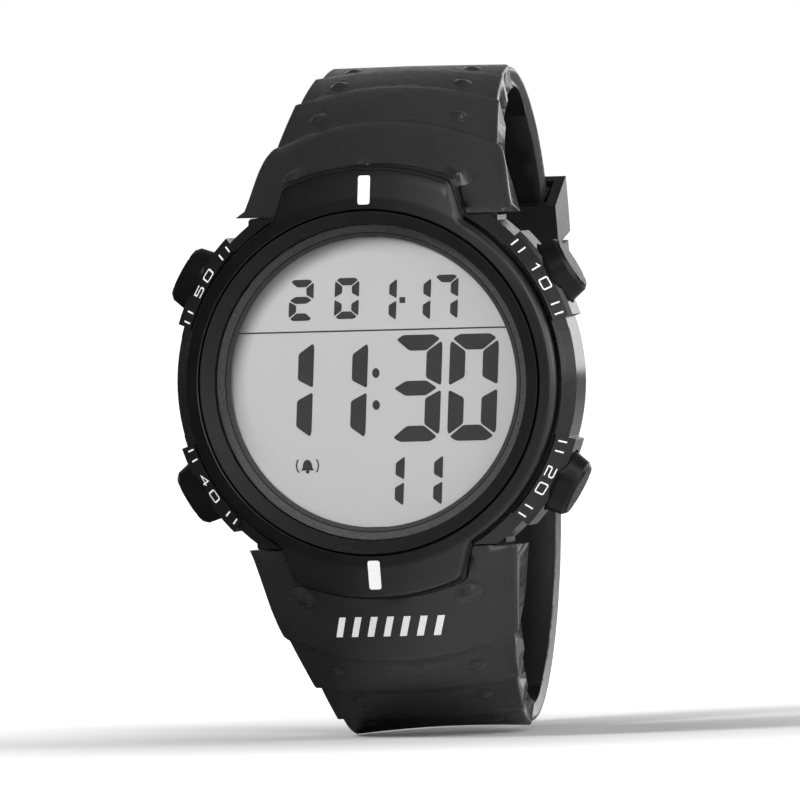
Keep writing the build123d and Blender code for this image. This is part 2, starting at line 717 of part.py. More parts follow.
def switch_leaf():
    """Sprung leaf that a button's stem meets at the end of its travel."""
    side = NOTCH_TOP - NOTCH_BASE - SEAT_GAP * 4
    place = radial_plane(LEAF_PLACE + SEAT_GAP, (NOTCH_TOP + NOTCH_BASE) / 2)
    return extrude(place * Rectangle(LEAF_WIDTH, side), LEAF_THICKNESS)


def button_section(radius, taper):
    """Oval across a button at a distance from the dial's axis."""
    return radial_plane(radius, BUTTON_AXIS_HEIGHT) * Ellipse(BUTTON_HALF_WIDTH - taper, BUTTON_HALF_HEIGHT - taper)


def button():
    """Button cap with ridges on its end, and the stem behind it."""
    cap = loft([
        button_section(BUTTON_INNER, 0),
        button_section(GUARD_RADIUS, 0),
        button_section(BUTTON_OUTER - BUTTON_CHAMFER, BUTTON_TAPER),
        button_section(BUTTON_OUTER, BUTTON_TAPER + BUTTON_CHAMFER),
    ], ruled=True)
    for index in range(RIDGE_COUNT):
        rise = BUTTON_AXIS_HEIGHT + (index - (RIDGE_COUNT - 1) / 2) * RIDGE_PITCH
        plane = radial_plane(BUTTON_OUTER - RIDGE_DEPTH, rise)
        cap -= extrude(plane * Rectangle(BUTTON_HALF_WIDTH * 2, RIDGE_WIDTH), OVERRUN)
    cap -= stem_disc(SPRING_RADIUS + SLIDING_GAP, BUTTON_INNER - OVERRUN, BUTTON_INNER + SPRING_POCKET_DEPTH)
    stem = stem_disc(STEM_RADIUS, STEM_TIP, BUTTON_INNER + SPRING_POCKET_DEPTH)
    neck_end = CLIP_RING_PLACE + CLIP_RING_THICKNESS + SEAT_GAP
    stem -= stem_disc(STEM_RADIUS + OVERRUN, CLIP_RING_PLACE - SEAT_GAP, neck_end, STEM_NECK_RADIUS)
    return cap + stem


def retaining_clip():
    """Ring in the neck of a stem, inside the case wall."""
    inner = CLIP_RING_PLACE
    return stem_disc(CLIP_RING_RADIUS, inner, inner + CLIP_RING_THICKNESS, STEM_NECK_RADIUS + SEAT_GAP)


def return_spring():
    """Spring round a stem, between the well's floor and the cap."""
    low = WELL_FLOOR + SEAT_GAP
    high = BUTTON_INNER + SPRING_POCKET_DEPTH - SEAT_GAP
    return stem_disc(SPRING_RADIUS, low, high, SPRING_RADIUS - SPRING_WALL)


def stem_seal():
    """Rubber ring round a stem, in its groove in the case wall."""
    low = SEAL_PLACE + SEAT_GAP
    return stem_disc(SEAL_RADIUS, low, SEAL_PLACE + SEAL_THICKNESS - SEAT_GAP, STEM_RADIUS + RUNNING_GAP)


def back_point(radius, angle):
    """Point (depth, rise) on the circle that the back of the strap follows."""
    turn = math.radians(angle)
    return (BACK_CENTRE_DEPTH + radius * math.cos(turn), BACK_CENTRE_RISE + radius * math.sin(turn))


def between(start, end, shares):
    """Points between two points, by their shares of the depth and of the rise."""
    points = []
    for depth_share, rise_share in shares:
        depth = start[0] + (end[0] - start[0]) * depth_share
        rise = start[1] + (end[1] - start[1]) * rise_share
        points.append((depth, rise))
    return points


def inner_line(half):
    """Edges of a strap half's inner line in the plane X = 0, from the case to the end."""
    side = CLOCK_SIDES[half]
    root = (ROOT_DEPTH, side * ROOT_PLACE)
    turn = math.radians(ROOT_HEADING)
    heading = (math.cos(turn), side * math.sin(turn))
    if half == "upper":
        crest = back_point(WRIST_BACK_RADIUS, 90.0)
        points = [root] + between(root, crest, UPPER_LINE_SHARES) + [crest]
        rise = Spline(*points, tangents=[heading, (1, 0)], tangent_scalars=END_PACES)
        end = back_point(WRIST_BACK_RADIUS, PIN_ANGLE)
        middle = back_point(WRIST_BACK_RADIUS, (90.0 + PIN_ANGLE) / 2)
        return [rise, ThreePointArc(crest, middle, end)]
    tail = back_point(TAIL_RADIUS, TAIL_START_ANGLE)
    tail_turn = math.radians(TAIL_START_ANGLE)
    tail_heading = (-math.sin(tail_turn), math.cos(tail_turn))
    points = [root] + between(root, tail, LOWER_LINE_SHARES) + [tail]
    sweep = Spline(*points, tangents=[heading, tail_heading], tangent_scalars=END_PACES)
    tip = back_point(TAIL_RADIUS, TAIL_TIP_ANGLE)
    middle = back_point(TAIL_RADIUS, (TAIL_START_ANGLE + TAIL_TIP_ANGLE) / 2)
    return [sweep, ThreePointArc(tail, middle, tip)]


INNER_LINES = {half: inner_line(half) for half in CLOCK_SIDES}


def station(half, length):
    """Plane across the strap at a length along its inner line: X across, Y outwards."""
    side = CLOCK_SIDES[half]
    first, last = INNER_LINES[half]
    if length <= first.length:
        chosen = first
        share = max(length / first.length, 0)
    else:
        chosen = last
        share = min((length - first.length) / last.length, 1)
    place = chosen.position_at(share)
    along = chosen.tangent_at(share)
    if length < 0:
        place = place + along * length
    return Plane(origin=(0, place.X, place.Y), x_dir=(-side, 0, 0), z_dir=(0, along.X, along.Y))


def line_length(half):
    """Whole length of a strap half's inner line."""
    return sum(edge.length for edge in INNER_LINES[half])


def strap_section(plane, half_width, thickness, crown, corner):
    """Section of the strap: flat inside, crowned outside, with rounded outer corners."""
    foot = half_width - UNDERSIDE_BEVEL
    ledge = half_width - corner
    bend = corner * (1 - math.sqrt(0.5))
    edges = [
        Line((-foot, 0), (foot, 0)),
        Line((foot, 0), (half_width, thickness - corner)),
        ThreePointArc((half_width, thickness - corner), (half_width - bend, thickness - bend), (ledge, thickness)),
        ThreePointArc((ledge, thickness), (0, thickness + crown), (-ledge, thickness)),
        ThreePointArc((-ledge, thickness), (bend - half_width, thickness - bend), (-half_width, thickness - corner)),
        Line((-half_width, thickness - corner), (-foot, 0)),
    ]
    return plane * make_face(edges)


def blend(low, high, share):
    """Value between two values."""
    return low + (high - low) * share


def segment_profile(half, index, share, raised):
    """Half width, thickness and crown of the strap within a segment."""
    widths = SEAM_HALF_WIDTHS[half]
    depths = SEAM_THICKNESSES[half]
    lowered = SCALE_STEP * (1 - raised)
    half_width = blend(widths[index], widths[index + 1], share) - lowered
    thickness = blend(depths[index], depths[index + 1], share) - lowered
    return half_width, thickness, blend(SEAM_CROWNS[index], SEAM_CROWNS[index + 1], share)


def strap_segment(half, index, start, length):
    """One scale of the strap, which widens to a lip over the next."""
    corner = ROOT_CORNER if index == 0 else STRAP_CORNER
    lead = ROOT_LEAD if index == 0 else SCALE_TUCK
    first_raise = 1 if index == 0 else 0
    shares = FIRST_SECTION_SHARES if index == 0 else SECTION_SHARES
    sections = []
    for share in shares:
        raised = blend(first_raise, 1, share)
        profile = segment_profile(half, index, share, raised)
        reach = start + (length - SCALE_LIP) * share
        sections.append(strap_section(station(half, reach), *profile, corner))
    profile = segment_profile(half, index, 0, first_raise)
    lead_in = strap_section(station(half, start - lead), *profile, corner)
    half_width, thickness, crown = segment_profile(half, index, 1, 1)
    dropped = SCALE_STEP / 2
    lip = strap_section(station(half, start + length), half_width - dropped, thickness - dropped, crown, corner)
    body = loft(sections)
    body += loft([lead_in, sections[0]], ruled=True)
    body += loft([sections[-1], lip], ruled=True)
    return body


def dimple(half, length, place, thickness, crown, half_width, radius, depth):
    """Cutter and dome of a pair of dimples in the strap's outer face."""
    level = thickness + crown - crown * (place / half_width) ** 2
    tilt = math.degrees(math.atan(2 * crown * place / half_width**2))
    plane = station(half, length)
    cutters = []
    domes = []
    for side in CLOCK_SIDES.values():
        floor = plane * Pos(side * place, level, 0) * Rot(-90, 0, 0) * Rot(0, side * tilt, 0)
        reach = OVERRUN / 2
        mouth = radius + DIMPLE_FLARE * (reach / depth)
        cone = Cone(radius - DIMPLE_FLARE, mouth, depth + reach)
        cutters.append(floor * Pos(0, 0, (reach - depth) / 2) * cone)
        dome_radius = radius * DIMPLE_DOME_SHARE
        domes.append(floor * Pos(0, 0, -depth - dome_radius / 2) * Sphere(dome_radius))
    return cutters, domes


def crescent(half):
    """Shallow scoop in the strap beside the wing's tip."""
    share = (CRESCENT_PLACE + ROOT_SETBACK) / SEGMENT_LENGTHS[half][0]
    half_width, thickness, crown = segment_profile(half, 0, share, 1)
    rise = thickness + crown + CRESCENT_RADIUS - CRESCENT_DEPTH
    centre = station(half, CRESCENT_PLACE).from_local_coords((0, rise, 0))
    return Pos(*centre) * Sphere(CRESCENT_RADIUS)


def scale_dimples(half, index, start, length):
    """Cutters and domes of the two dimples of a scale."""
    share = DIMPLE_SHARE
    raised = DIMPLE_SHARE
    radius = SMALL_DIMPLE_RADIUS
    depth = SMALL_DIMPLE_DEPTH
    if index == 0:
        share = FIRST_DIMPLE_SHARE
        raised = 1
        radius = BIG_DIMPLE_RADIUS
        depth = BIG_DIMPLE_DEPTH
    half_width, thickness, crown = segment_profile(half, index, share, raised)
    place = DIMPLE_PLACES[index]
    return dimple(half, start + length * share, place, thickness, crown, half_width, radius, depth)


def strap_scales(half):
    """The scales of a strap half with their dimples, and where they end."""
    start = -ROOT_SETBACK
    body = None
    cutters = []
    domes = []
    for index, length in enumerate(SEGMENT_LENGTHS[half]):
        segment = strap_segment(half, index, start, length)
        body = segment if body is None else body + segment
        more_cutters, more_domes = scale_dimples(half, index, start, length)
        cutters += more_cutters
        domes += more_domes
        start += length
    for cutter in cutters:
        body -= cutter
    for dome in domes:
        body += dome
    return body, start


def plain_band(half, start, end, thickness):
    """Plain stretch of a strap half from the last scale to its end."""
    sections = []
    for index in range(BAND_SECTIONS + 1):
        reach = blend(start, end, index / BAND_SECTIONS)
        sections.append(strap_section(station(half, reach), STRAP_HALF_WIDTH, thickness, STRAP_CROWN, STRAP_CORNER))
    body = loft(sections)
    lead = strap_section(station(half, start - SCALE_TUCK), STRAP_HALF_WIDTH, thickness, STRAP_CROWN, STRAP_CORNER)
    return body + loft([lead, sections[0]], ruled=True)


def trim_root(body, half):
    """Cut the strap's root flat, clear it round the wing and bore it for its spring bar."""
    side = CLOCK_SIDES[half]
    below = Pos(0, 0, side * (ROOT_PLACE - OVERRUN)) * Box(CASE_RADIUS * 2, CASE_RADIUS * 2, OVERRUN * 2)
    body -= below
    notch = prism(wing_outline(WING_GAP), -NOTCH_REACH, BEZEL_HEIGHT + OVERRUN)
    bore = spring_bar_hole(spring_bar_half_length() + SEAT_GAP)
    if side < 0:
        notch = mirror(notch, Plane.XY)
        bore = mirror(bore, Plane.XY)
    return body - notch - bore


def pin_disc(radius, half_length):
    """Cylinder on the buckle pin's axis."""
    depth, rise = back_point(PIN_PLACE_RADIUS, PIN_ANGLE)
    plane = Plane(origin=(-half_length, depth, rise), z_dir=(1, 0, 0))
    return extrude(plane * Circle(radius), half_length * 2)


def strap_upper():
    """Strap half at twelve o'clock, which carries the buckle."""
    body, start = strap_scales("upper")
    body += plain_band("upper", start, line_length("upper"), STRAP_THICKNESS)
    body += pin_disc(KNUCKLE_RADIUS, STRAP_HALF_WIDTH - UNDERSIDE_BEVEL)
    body -= pin_disc(PIN_RADIUS + RUNNING_GAP, STRAP_HALF_WIDTH + OVERRUN)
    body -= pin_disc(STRAP_THICKNESS, TONGUE_SLOT_WIDTH / 2)
    return trim_root(body, "upper") - crescent("upper")


def strap_hole(length):
    """Oval hole through the strap's tail."""
    plane = station("lower", length)
    across = Plane(origin=plane.origin, x_dir=plane.x_dir, z_dir=plane.y_dir)
    outline = SlotOverall(HOLE_LENGTH, HOLE_WIDTH, rotation=90)
    return extrude(across.offset(-OVERRUN / 2) * outline, OVERRUN)


def tail_tip_cut(end):
    """Waste outside the rounded tip of the strap's tail."""
    tip = station("lower", end)
    across = Plane(origin=tip.origin, x_dir=tip.x_dir, z_dir=tip.y_dir)
    corner = Rectangle(STRAP_HALF_WIDTH * 4, TAIL_TIP_ROUND * 2)
    corner -= Pos(0, TAIL_TIP_ROUND) * Ellipse(STRAP_HALF_WIDTH, TAIL_TIP_ROUND)
    return extrude(across.offset(-OVERRUN / 2) * corner, OVERRUN)


def strap_lower():
    """Strap half at six o'clock, with its holes and its tail."""
    body, start = strap_scales("lower")
    end = line_length("lower")
    body += plain_band("lower", start, end, TAIL_THICKNESS)
    body -= tail_tip_cut(end)
    used = end - math.radians(TAIL_TIP_ANGLE - PIN_ANGLE) * TAIL_RADIUS - HOLE_DROP
    for index in range(HOLE_COUNT):
        body -= strap_hole(used - index * HOLE_PITCH)
    return trim_root(body, "lower") - crescent("lower")


def stadium(start, end, start_radius, end_radius):
    """Plate outline round two points of depth and rise."""
    return make_hull((Pos(*start) * Circle(start_radius) + Pos(*end) * Circle(end_radius)).edges())


def buckle_bar_point():
    """Centre of the buckle frame's far bar."""
    depth, rise = back_point(PIN_PLACE_RADIUS, PIN_ANGLE)
    return (depth + BAR_SETBACK, rise - BAR_DROP)


def buckle_frame():
    """Two arms on the pin and the far bar that crosses the tail."""
    pin = back_point(PIN_PLACE_RADIUS, PIN_ANGLE)
    bar = buckle_bar_point()
    outline = stadium(pin, bar, ARM_PIN_RADIUS, ARM_BAR_RADIUS)
    arm = extrude(Plane.YZ.offset(ARM_INNER) * outline, ARM_WIDTH)
    body = arm + mirror(arm, Plane.YZ)
    body += extrude(Plane.YZ.offset(-ARM_OUTER) * (Pos(*bar) * Circle(BAR_RADIUS)), ARM_OUTER * 2)
    return body - pin_disc(PIN_RADIUS + RUNNING_GAP, ARM_OUTER + OVERRUN)


def buckle_pin():
    """Pin that carries the buckle frame and the tongue."""
    return pin_disc(PIN_RADIUS, ARM_OUTER - PIN_END_GAP)


def buckle_tongue():
    """Tongue on the pin, bent to lie over the far bar."""
    pin = back_point(PIN_PLACE_RADIUS, PIN_ANGLE)
    bar = buckle_bar_point()
    knee = (pin[0] + TONGUE_RISE, pin[1] - TONGUE_SLANT)
    half = TONGUE_THICKNESS / 2
    rest = BAR_RADIUS + SEAT_GAP + half
    reach = math.dist(knee, bar)
    heading = math.atan2(bar[1] - knee[1], bar[0] - knee[0]) + math.asin(rest / reach)
    length = math.sqrt(reach**2 - rest**2) + TONGUE_OVERHANG
    tip = (knee[0] + length * math.cos(heading), knee[1] + length * math.sin(heading))
    outline = stadium(pin, knee, half, half) + stadium(knee, tip, half, half)
    outline += Pos(*pin) * Circle(STRAP_THICKNESS / 2)
    body = extrude(Plane.YZ.offset(-TONGUE_WIDTH / 2) * outline, TONGUE_WIDTH)
    return body - pin_disc(PIN_RADIUS + RUNNING_GAP, TONGUE_WIDTH)


def ring_sector(inner, outer, start_angle, end_angle, half_width):
    """Curved block round the back of the strap between two radii and two angles."""
    middle_angle = (start_angle + end_angle) / 2
    edges = [
        ThreePointArc(back_point(inner, start_angle), back_point(inner, middle_angle), back_point(inner, end_angle)),
        Line(back_point(inner, end_angle), back_point(outer, end_angle)),
        ThreePointArc(back_point(outer, end_angle), back_point(outer, middle_angle), back_point(outer, start_angle)),
        Line(back_point(outer, start_angle), back_point(inner, start_angle)),
    ]
    return extrude(Plane.YZ.offset(-half_width) * make_face(edges), half_width * 2)


def keeper(start_angle, end_angle, gap):
    """Loop round both layers of the strap."""
    inner = WRIST_BACK_RADIUS - gap
    outer = TAIL_OUTER_RADIUS + STRAP_CROWN + gap
    half_width = STRAP_HALF_WIDTH + gap
    body = ring_sector(inner - KEEPER_WALL, outer + KEEPER_WALL, start_angle, end_angle, half_width + KEEPER_WALL)
    return body - ring_sector(inner, outer, start_angle - 5.0, end_angle + 5.0, half_width)


def build():
    """Every node of the watch by its name."""
    nodes = {
        "case_body": case_body(),
        "bezel": bezel(),
        "crystal_ring": crystal_ring(),
        "crystal": crystal(),
        "crystal_gasket": crystal_gasket(),
        "dial_ring": dial_ring(),
        "lcd_panel": disc(LCD_RADIUS, LCD_BASE, LCD_TOP),
        "backlight_panel": backlight_panel(),
        "zebra_strips": Compound([zebra_slot(0), mirror(zebra_slot(0), Plane.XY)]),
        "module_frame": module_frame(),
        "circuit_board": circuit_board(),
        "processor_chip": processor_chip(),
        "battery_holder": battery_holder(),
        "coin_cell": coin_cell(),
        "battery_contact": battery_contact(),
        "battery_clip": battery_clip(),
        "buzzer_disc": disc(BUZZER_RADIUS, BACK_THICKNESS, BACK_THICKNESS + BUZZER_THICKNESS),
        "module_screws": module_screws(),
        "case_back": case_back(),
        "back_gasket": back_gasket(),
        "back_screws": back_screws(),
        "spring_bar_upper": spring_bar(1),
        "spring_bar_lower": spring_bar(-1),
        "index_markers": Compound([marker(1), marker(-1)]),
        "strap_upper": strap_upper(),
        "strap_lower": strap_lower(),
        "buckle_pin": buckle_pin(),
        "buckle_frame": buckle_frame(),
        "buckle_tongue": buckle_tongue(),
        "fixed_keeper": keeper(FIXED_KEEPER_START, FIXED_KEEPER_END, SEAT_GAP),
        "free_keeper": keeper(FREE_KEEPER_START, FREE_KEEPER_END, SLIDING_GAP),
    }
    leaves = []
    seals = []
    for name, angle in BUTTON_ANGLES.items():
        nodes["button_" + name] = clocked(angle) * button()
        nodes["clip_" + name] = clocked(angle) * retaining_clip()
        nodes["spring_" + name] = clocked(angle) * return_spring()
        leaves.append(clocked(angle) * switch_leaf())
        seals.append(clocked(angle) * stem_seal())
    nodes["switch_leaves"] = Compound(leaves)
    nodes["stem_seals"] = Compound(seals)
    return nodes


for name, solid in build().items():
    export_step(solid, "parts/" + name + ".step")
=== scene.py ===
import bpy
import bmesh
import json
import math
from mathutils import Matrix, Vector
from mathutils.bvhtree import BVHTree


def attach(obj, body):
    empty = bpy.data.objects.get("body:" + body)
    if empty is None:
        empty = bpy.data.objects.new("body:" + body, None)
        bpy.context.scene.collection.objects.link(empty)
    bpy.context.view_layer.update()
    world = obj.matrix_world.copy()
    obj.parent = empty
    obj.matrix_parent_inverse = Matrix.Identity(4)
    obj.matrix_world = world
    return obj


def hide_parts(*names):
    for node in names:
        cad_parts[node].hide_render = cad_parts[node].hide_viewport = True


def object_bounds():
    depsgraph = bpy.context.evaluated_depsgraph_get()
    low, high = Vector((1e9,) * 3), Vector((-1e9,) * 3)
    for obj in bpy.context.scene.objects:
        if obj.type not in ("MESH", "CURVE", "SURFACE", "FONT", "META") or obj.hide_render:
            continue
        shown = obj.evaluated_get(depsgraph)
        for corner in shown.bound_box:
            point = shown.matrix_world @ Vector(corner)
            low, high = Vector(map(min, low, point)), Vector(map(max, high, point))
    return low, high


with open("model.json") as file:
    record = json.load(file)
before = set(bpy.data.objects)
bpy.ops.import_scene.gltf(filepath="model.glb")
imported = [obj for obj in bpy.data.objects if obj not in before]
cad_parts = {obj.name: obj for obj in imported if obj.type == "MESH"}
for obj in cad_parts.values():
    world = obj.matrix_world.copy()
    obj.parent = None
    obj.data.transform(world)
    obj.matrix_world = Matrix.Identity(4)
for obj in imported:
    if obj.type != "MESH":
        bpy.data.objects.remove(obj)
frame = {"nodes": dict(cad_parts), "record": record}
cad_low, cad_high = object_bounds()
nodes = frame["nodes"]
MM = 0.001


# Helpers
def linear(level):
    """Linear value of an 8-bit grey level."""
    c = level / 255.0
    return c / 12.92 if c <= 0.04045 else ((c + 0.055) / 1.055) ** 2.4


def grey(level, tint=(1.0, 1.0, 1.0)):
    """Shader color of an 8-bit grey level, with an optional tint."""
    v = linear(level)
    return (v * tint[0], v * tint[1], v * tint[2], 1.0)


def point(x, height, z):
    """A place on the watch in millimetres, with the height counted towards the dial."""
    return Vector((x * MM, -height * MM, z * MM))


def mesh_object(name, verts, faces, material, body, smooth=True):
    """A new piece that rides a body."""
    mesh = bpy.data.meshes.new(name)
    mesh.from_pydata([tuple(v) for v in verts], [], faces)
    mesh.validate()
    mesh.update()
    obj = bpy.data.objects.new(name, mesh)
    bpy.context.scene.collection.objects.link(obj)
    mesh.materials.append(material)
    for poly in mesh.polygons:
        poly.use_smooth = smooth
    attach(obj, body)
    return obj


# Materials
class Shader:
    """A material with its Principled shader and small helpers for its nodes."""

    def __init__(self, name, color, roughness, metallic=0.0, specular=0.5):
        self.mat = bpy.data.materials.new(name)
        self.mat.use_nodes = True
        self.tree = self.mat.node_tree
        self.bsdf = self.tree.nodes["Principled BSDF"]
        self.bsdf.inputs["Base Color"].default_value = color
        self.bsdf.inputs["Roughness"].default_value = roughness
        self.bsdf.inputs["Metallic"].default_value = metallic
        self.bsdf.inputs["Specular IOR Level"].default_value = specular
        self.coords = self.tree.nodes.new("ShaderNodeTexCoord")

    def node(self, kind, **values):
        """A new node with its input values and settings."""
        made = self.tree.nodes.new(kind)
        for key, value in values.items():
            if key in made.inputs:
                made.inputs[key].default_value = value
            else:
                setattr(made, key, value)
        return made

    def link(self, a, b):
        self.tree.links.new(a, b)

    def noise(self, scale, detail=3.0, rough=0.55, stretch=None):
        """Noise that stays with the object, stretched along an axis where asked."""
        made = self.node("ShaderNodeTexNoise", Scale=scale, Detail=detail, Roughness=rough)
        source = self.coords.outputs["Object"]
        if stretch:
            mapping = self.node("ShaderNodeMapping", Scale=stretch)
            self.link(source, mapping.inputs["Vector"])
            source = mapping.outputs["Vector"]
        self.link(source, made.inputs["Vector"])
        return made.outputs["Fac"]

    def spread(self, fac, low, high, from_low=0.35, from_high=0.65):
        """A value spread over a new range. The usual old range is that of noise."""
        made = self.node("ShaderNodeMapRange")
        made.inputs["From Min"].default_value = from_low
        made.inputs["From Max"].default_value = from_high
        made.inputs["To Min"].default_value = low
        made.inputs["To Max"].default_value = high
        self.link(fac, made.inputs["Value"])
        return made.outputs["Result"]

    def radius(self):
        """Distance from the dial's axis."""
        flat = self.node("ShaderNodeVectorMath", operation="MULTIPLY")
        flat.inputs[1].default_value = (1.0, 0.0, 1.0)
        self.link(self.coords.outputs["Object"], flat.inputs[0])
        away = self.node("ShaderNodeVectorMath", operation="LENGTH")
        self.link(flat.outputs["Vector"], away.inputs[0])
        return away.outputs["Value"]

    def toward(self, direction):
        """How far a place lies along a direction."""
        made = self.node("ShaderNodeVectorMath", operation="DOT_PRODUCT")
        made.inputs[1].default_value = Vector(direction).normalized()
        self.link(self.coords.outputs["Object"], made.inputs[0])
        return made.outputs["Value"]

    def sideways(self):
        """How far a face looks to the left or the right."""
        split = self.node("ShaderNodeSeparateXYZ")
        self.link(self.coords.outputs["Normal"], split.inputs[0])
        size = self.node("ShaderNodeMath", operation="ABSOLUTE")
        self.link(split.outputs["X"], size.inputs[0])
        return size.outputs[0]

    def feed(self, socket, value):
        """Link another node's output to a socket, or set a plain value there."""
        if hasattr(value, "links"):
            self.link(value, socket)
        else:
            socket.default_value = value

    def times(self, a, b):
        """Two values multiplied."""
        made = self.node("ShaderNodeMath", operation="MULTIPLY")
        self.feed(made.inputs[0], a)
        self.feed(made.inputs[1], b)
        return made.outputs[0]

    def mix(self, fac, color_a, color_b):
        """A color between two, nearer to the second as the share grows."""
        made = self.node("ShaderNodeMix", data_type="RGBA")
        self.feed(made.inputs[0], fac)
        self.feed(made.inputs[6], color_a)
        self.feed(made.inputs[7], color_b)
        return made.outputs[2]

    def color(self, socket):
        self.link(socket, self.bsdf.inputs["Base Color"])

    def rough(self, socket):
        self.link(socket, self.bsdf.inputs["Roughness"])

    def bump(self, fac, distance, strength, base=None):
        """Relief of a height in metres, on top of other normals where given."""
        made = self.node("ShaderNodeBump", Strength=strength, Distance=distance)
        self.link(fac, made.inputs["Height"])
        if base is not None:
            self.link(base, made.inputs["Normal"])
        self.link(made.outputs["Normal"], self.bsdf.inputs["Normal"])


EDGE_SOFTNESS, EDGE_SAMPLES = 0.14 * MM, 4
CLOUD_SCALE, GLOSS_SCALE, GRAIN_SCALE = 260.0, 900.0, 5200.0
GLOSS_SPREAD = 0.05
GRAIN_STRENGTH = 0.6
WALL_GLOSS = 0.5
WALL_TURNS = (0.75, 0.95)


def resin(name, level, roughness, grain=0.010 * MM, specular=0.5, soft_edges=True):
    """Dark moulded resin: mottled tone, fine grain, uneven gloss, and side walls that are smoother."""
    s = Shader(name, grey(level), roughness, specular=specular)
    cloud = s.noise(CLOUD_SCALE, 3.0)
    s.color(s.mix(s.spread(cloud, 0.0, 1.0), grey(level - 1), grey(level + 1)))
    gloss = s.spread(s.noise(GLOSS_SCALE, 4.0), roughness - GLOSS_SPREAD, roughness + GLOSS_SPREAD)
    s.rough(s.times(gloss, s.spread(s.sideways(), 1.0, WALL_GLOSS, *WALL_TURNS)))
    edges = None
    if soft_edges:
        edges = s.node("ShaderNodeBevel", Radius=EDGE_SOFTNESS, samples=EDGE_SAMPLES).outputs["Normal"]
    s.bump(s.noise(GRAIN_SCALE, 2.0), grain, GRAIN_STRENGTH, edges)
    return s.mat


STREAK_SCALE = 900.0
STREAK_DARKER, STREAK_LIGHTER, STREAK_WHITEST = 10, 8, 250
STREAK_GLOSSIER, STREAK_DULLER = 0.07, 0.09
STREAK_DEPTH, STREAK_STRENGTH = 0.012 * MM, 0.35


def satin_metal(name, level, roughness, stretch, tint=(1.0, 1.0, 1.0)):
    """Brushed or turned metal with fine streaks."""
    s = Shader(name, grey(level, tint), roughness, metallic=1.0)
    streak = s.noise(STREAK_SCALE, 4.0, 0.6, stretch)
    light = grey(min(level + STREAK_LIGHTER, STREAK_WHITEST), tint)
    s.color(s.mix(s.spread(streak, 0.0, 1.0), grey(level - STREAK_DARKER, tint), light))
    s.rough(s.spread(streak, roughness - STREAK_GLOSSIER, roughness + STREAK_DULLER))
    s.bump(streak, STREAK_DEPTH, STREAK_STRENGTH)
    return s.mat


# Where the bezel's ring ends and its wings begin, and the two sheens on either side.
BAND_EDGE = (22.5 * MM, 23.1 * MM)
BAND_SPECULAR, BAND_COAT = (0.36, 0.7), (0.08, 0.25)
COAT_TONES, COAT_GLOSS = (16, 20), (0.37, 0.47)
COAT_GRAIN, COAT_GRAIN_DEPTH = 4200.0, 0.006 * MM


def coated_bezel():
    """Satin dark coating on the bezel, with a sheen that is softer on the ring than on the wings."""
    s = Shader("bezel_coat", grey(18), 0.42)
    cloud = s.noise(180.0, 2.0)
    s.color(s.mix(s.spread(cloud, 0.0, 1.0), grey(COAT_TONES[0]), grey(COAT_TONES[1])))
    fine = s.noise(COAT_GRAIN, 2.0)
    s.rough(s.spread(fine, *COAT_GLOSS))
    s.bump(fine, COAT_GRAIN_DEPTH, 0.35)
    away = s.radius()
    s.link(s.spread(away, *BAND_SPECULAR, *BAND_EDGE), s.bsdf.inputs["Specular IOR Level"])
    s.link(s.spread(away, *BAND_COAT, *BAND_EDGE), s.bsdf.inputs["Coat Weight"])
    s.bsdf.inputs["Coat Roughness"].default_value = 0.3
    return s.mat


# Inside the thin dark line the ring's tone is darker: painted shade near the display's edge. The line
# itself is print.
RING_SHADE_STEP = (18.32 * MM, 18.42 * MM)
RING_LINE_START, RING_LINE_END = (18.34 * MM, 18.40 * MM), (18.48 * MM, 18.54 * MM)
RING_TONES, RING_INSIDE_SHADE_TONE, RING_LINE_TONE = (70, 92), 30, 24
RING_GRAIN, RING_GRAIN_DEPTH = 3800.0, 0.02 * MM


def ring_print():
    """Grey dial ring with a fine matte grain and a thin dark line, with painted shade on the part inside
    the line.
    """
    s = Shader("dial_print", grey(72), 0.62, specular=0.3)
    speck = s.noise(RING_GRAIN, 3.0, 0.7)
    tone = s.mix(s.spread(speck, 0.0, 1.0), grey(RING_TONES[0]), grey(RING_TONES[1]))
    away = s.radius()
    tone = s.mix(s.spread(away, 0.35, 0.0, *RING_SHADE_STEP), tone, grey(RING_INSIDE_SHADE_TONE))
    line = s.times(s.spread(away, 0.0, 1.0, *RING_LINE_START), s.spread(away, 1.0, 0.0, *RING_LINE_END))
    s.color(s.mix(line, tone, grey(RING_LINE_TONE)))
    s.bump(speck, RING_GRAIN_DEPTH, 0.5)
    return s.mat


# Painted shadow of the dial ring on the display: darker near its rim towards the upper left.
DISPLAY_SHADOW_RIM = (15.9 * MM, 18.1 * MM)
DISPLAY_SHADE_SIDE = (-0.75, 0.0, 0.66)
DISPLAY_SHADE_RUN = (4.0 * MM, 15.0 * MM)
DISPLAY_TONES, DISPLAY_SHADE_TONE = (200, 202), 70


def display_glass():
    """Grey reflective display with a very faint grain, and a painted shadow of the dial ring along its
    upper left rim.
    """
    s = Shader("display", grey(208), 0.55, specular=0.25)
    speck = s.noise(2500.0, 2.0)
    tone = s.mix(s.spread(speck, 0.0, 1.0), grey(DISPLAY_TONES[0]), grey(DISPLAY_TONES[1]))
    shadow_rim = s.spread(s.radius(), 0.0, 0.75, *DISPLAY_SHADOW_RIM)
    shaded = s.times(shadow_rim, s.spread(s.toward(DISPLAY_SHADE_SIDE), 0.0, 1.0, *DISPLAY_SHADE_RUN))
    s.color(s.mix(shaded, tone, grey(DISPLAY_SHADE_TONE)))
    return s.mat


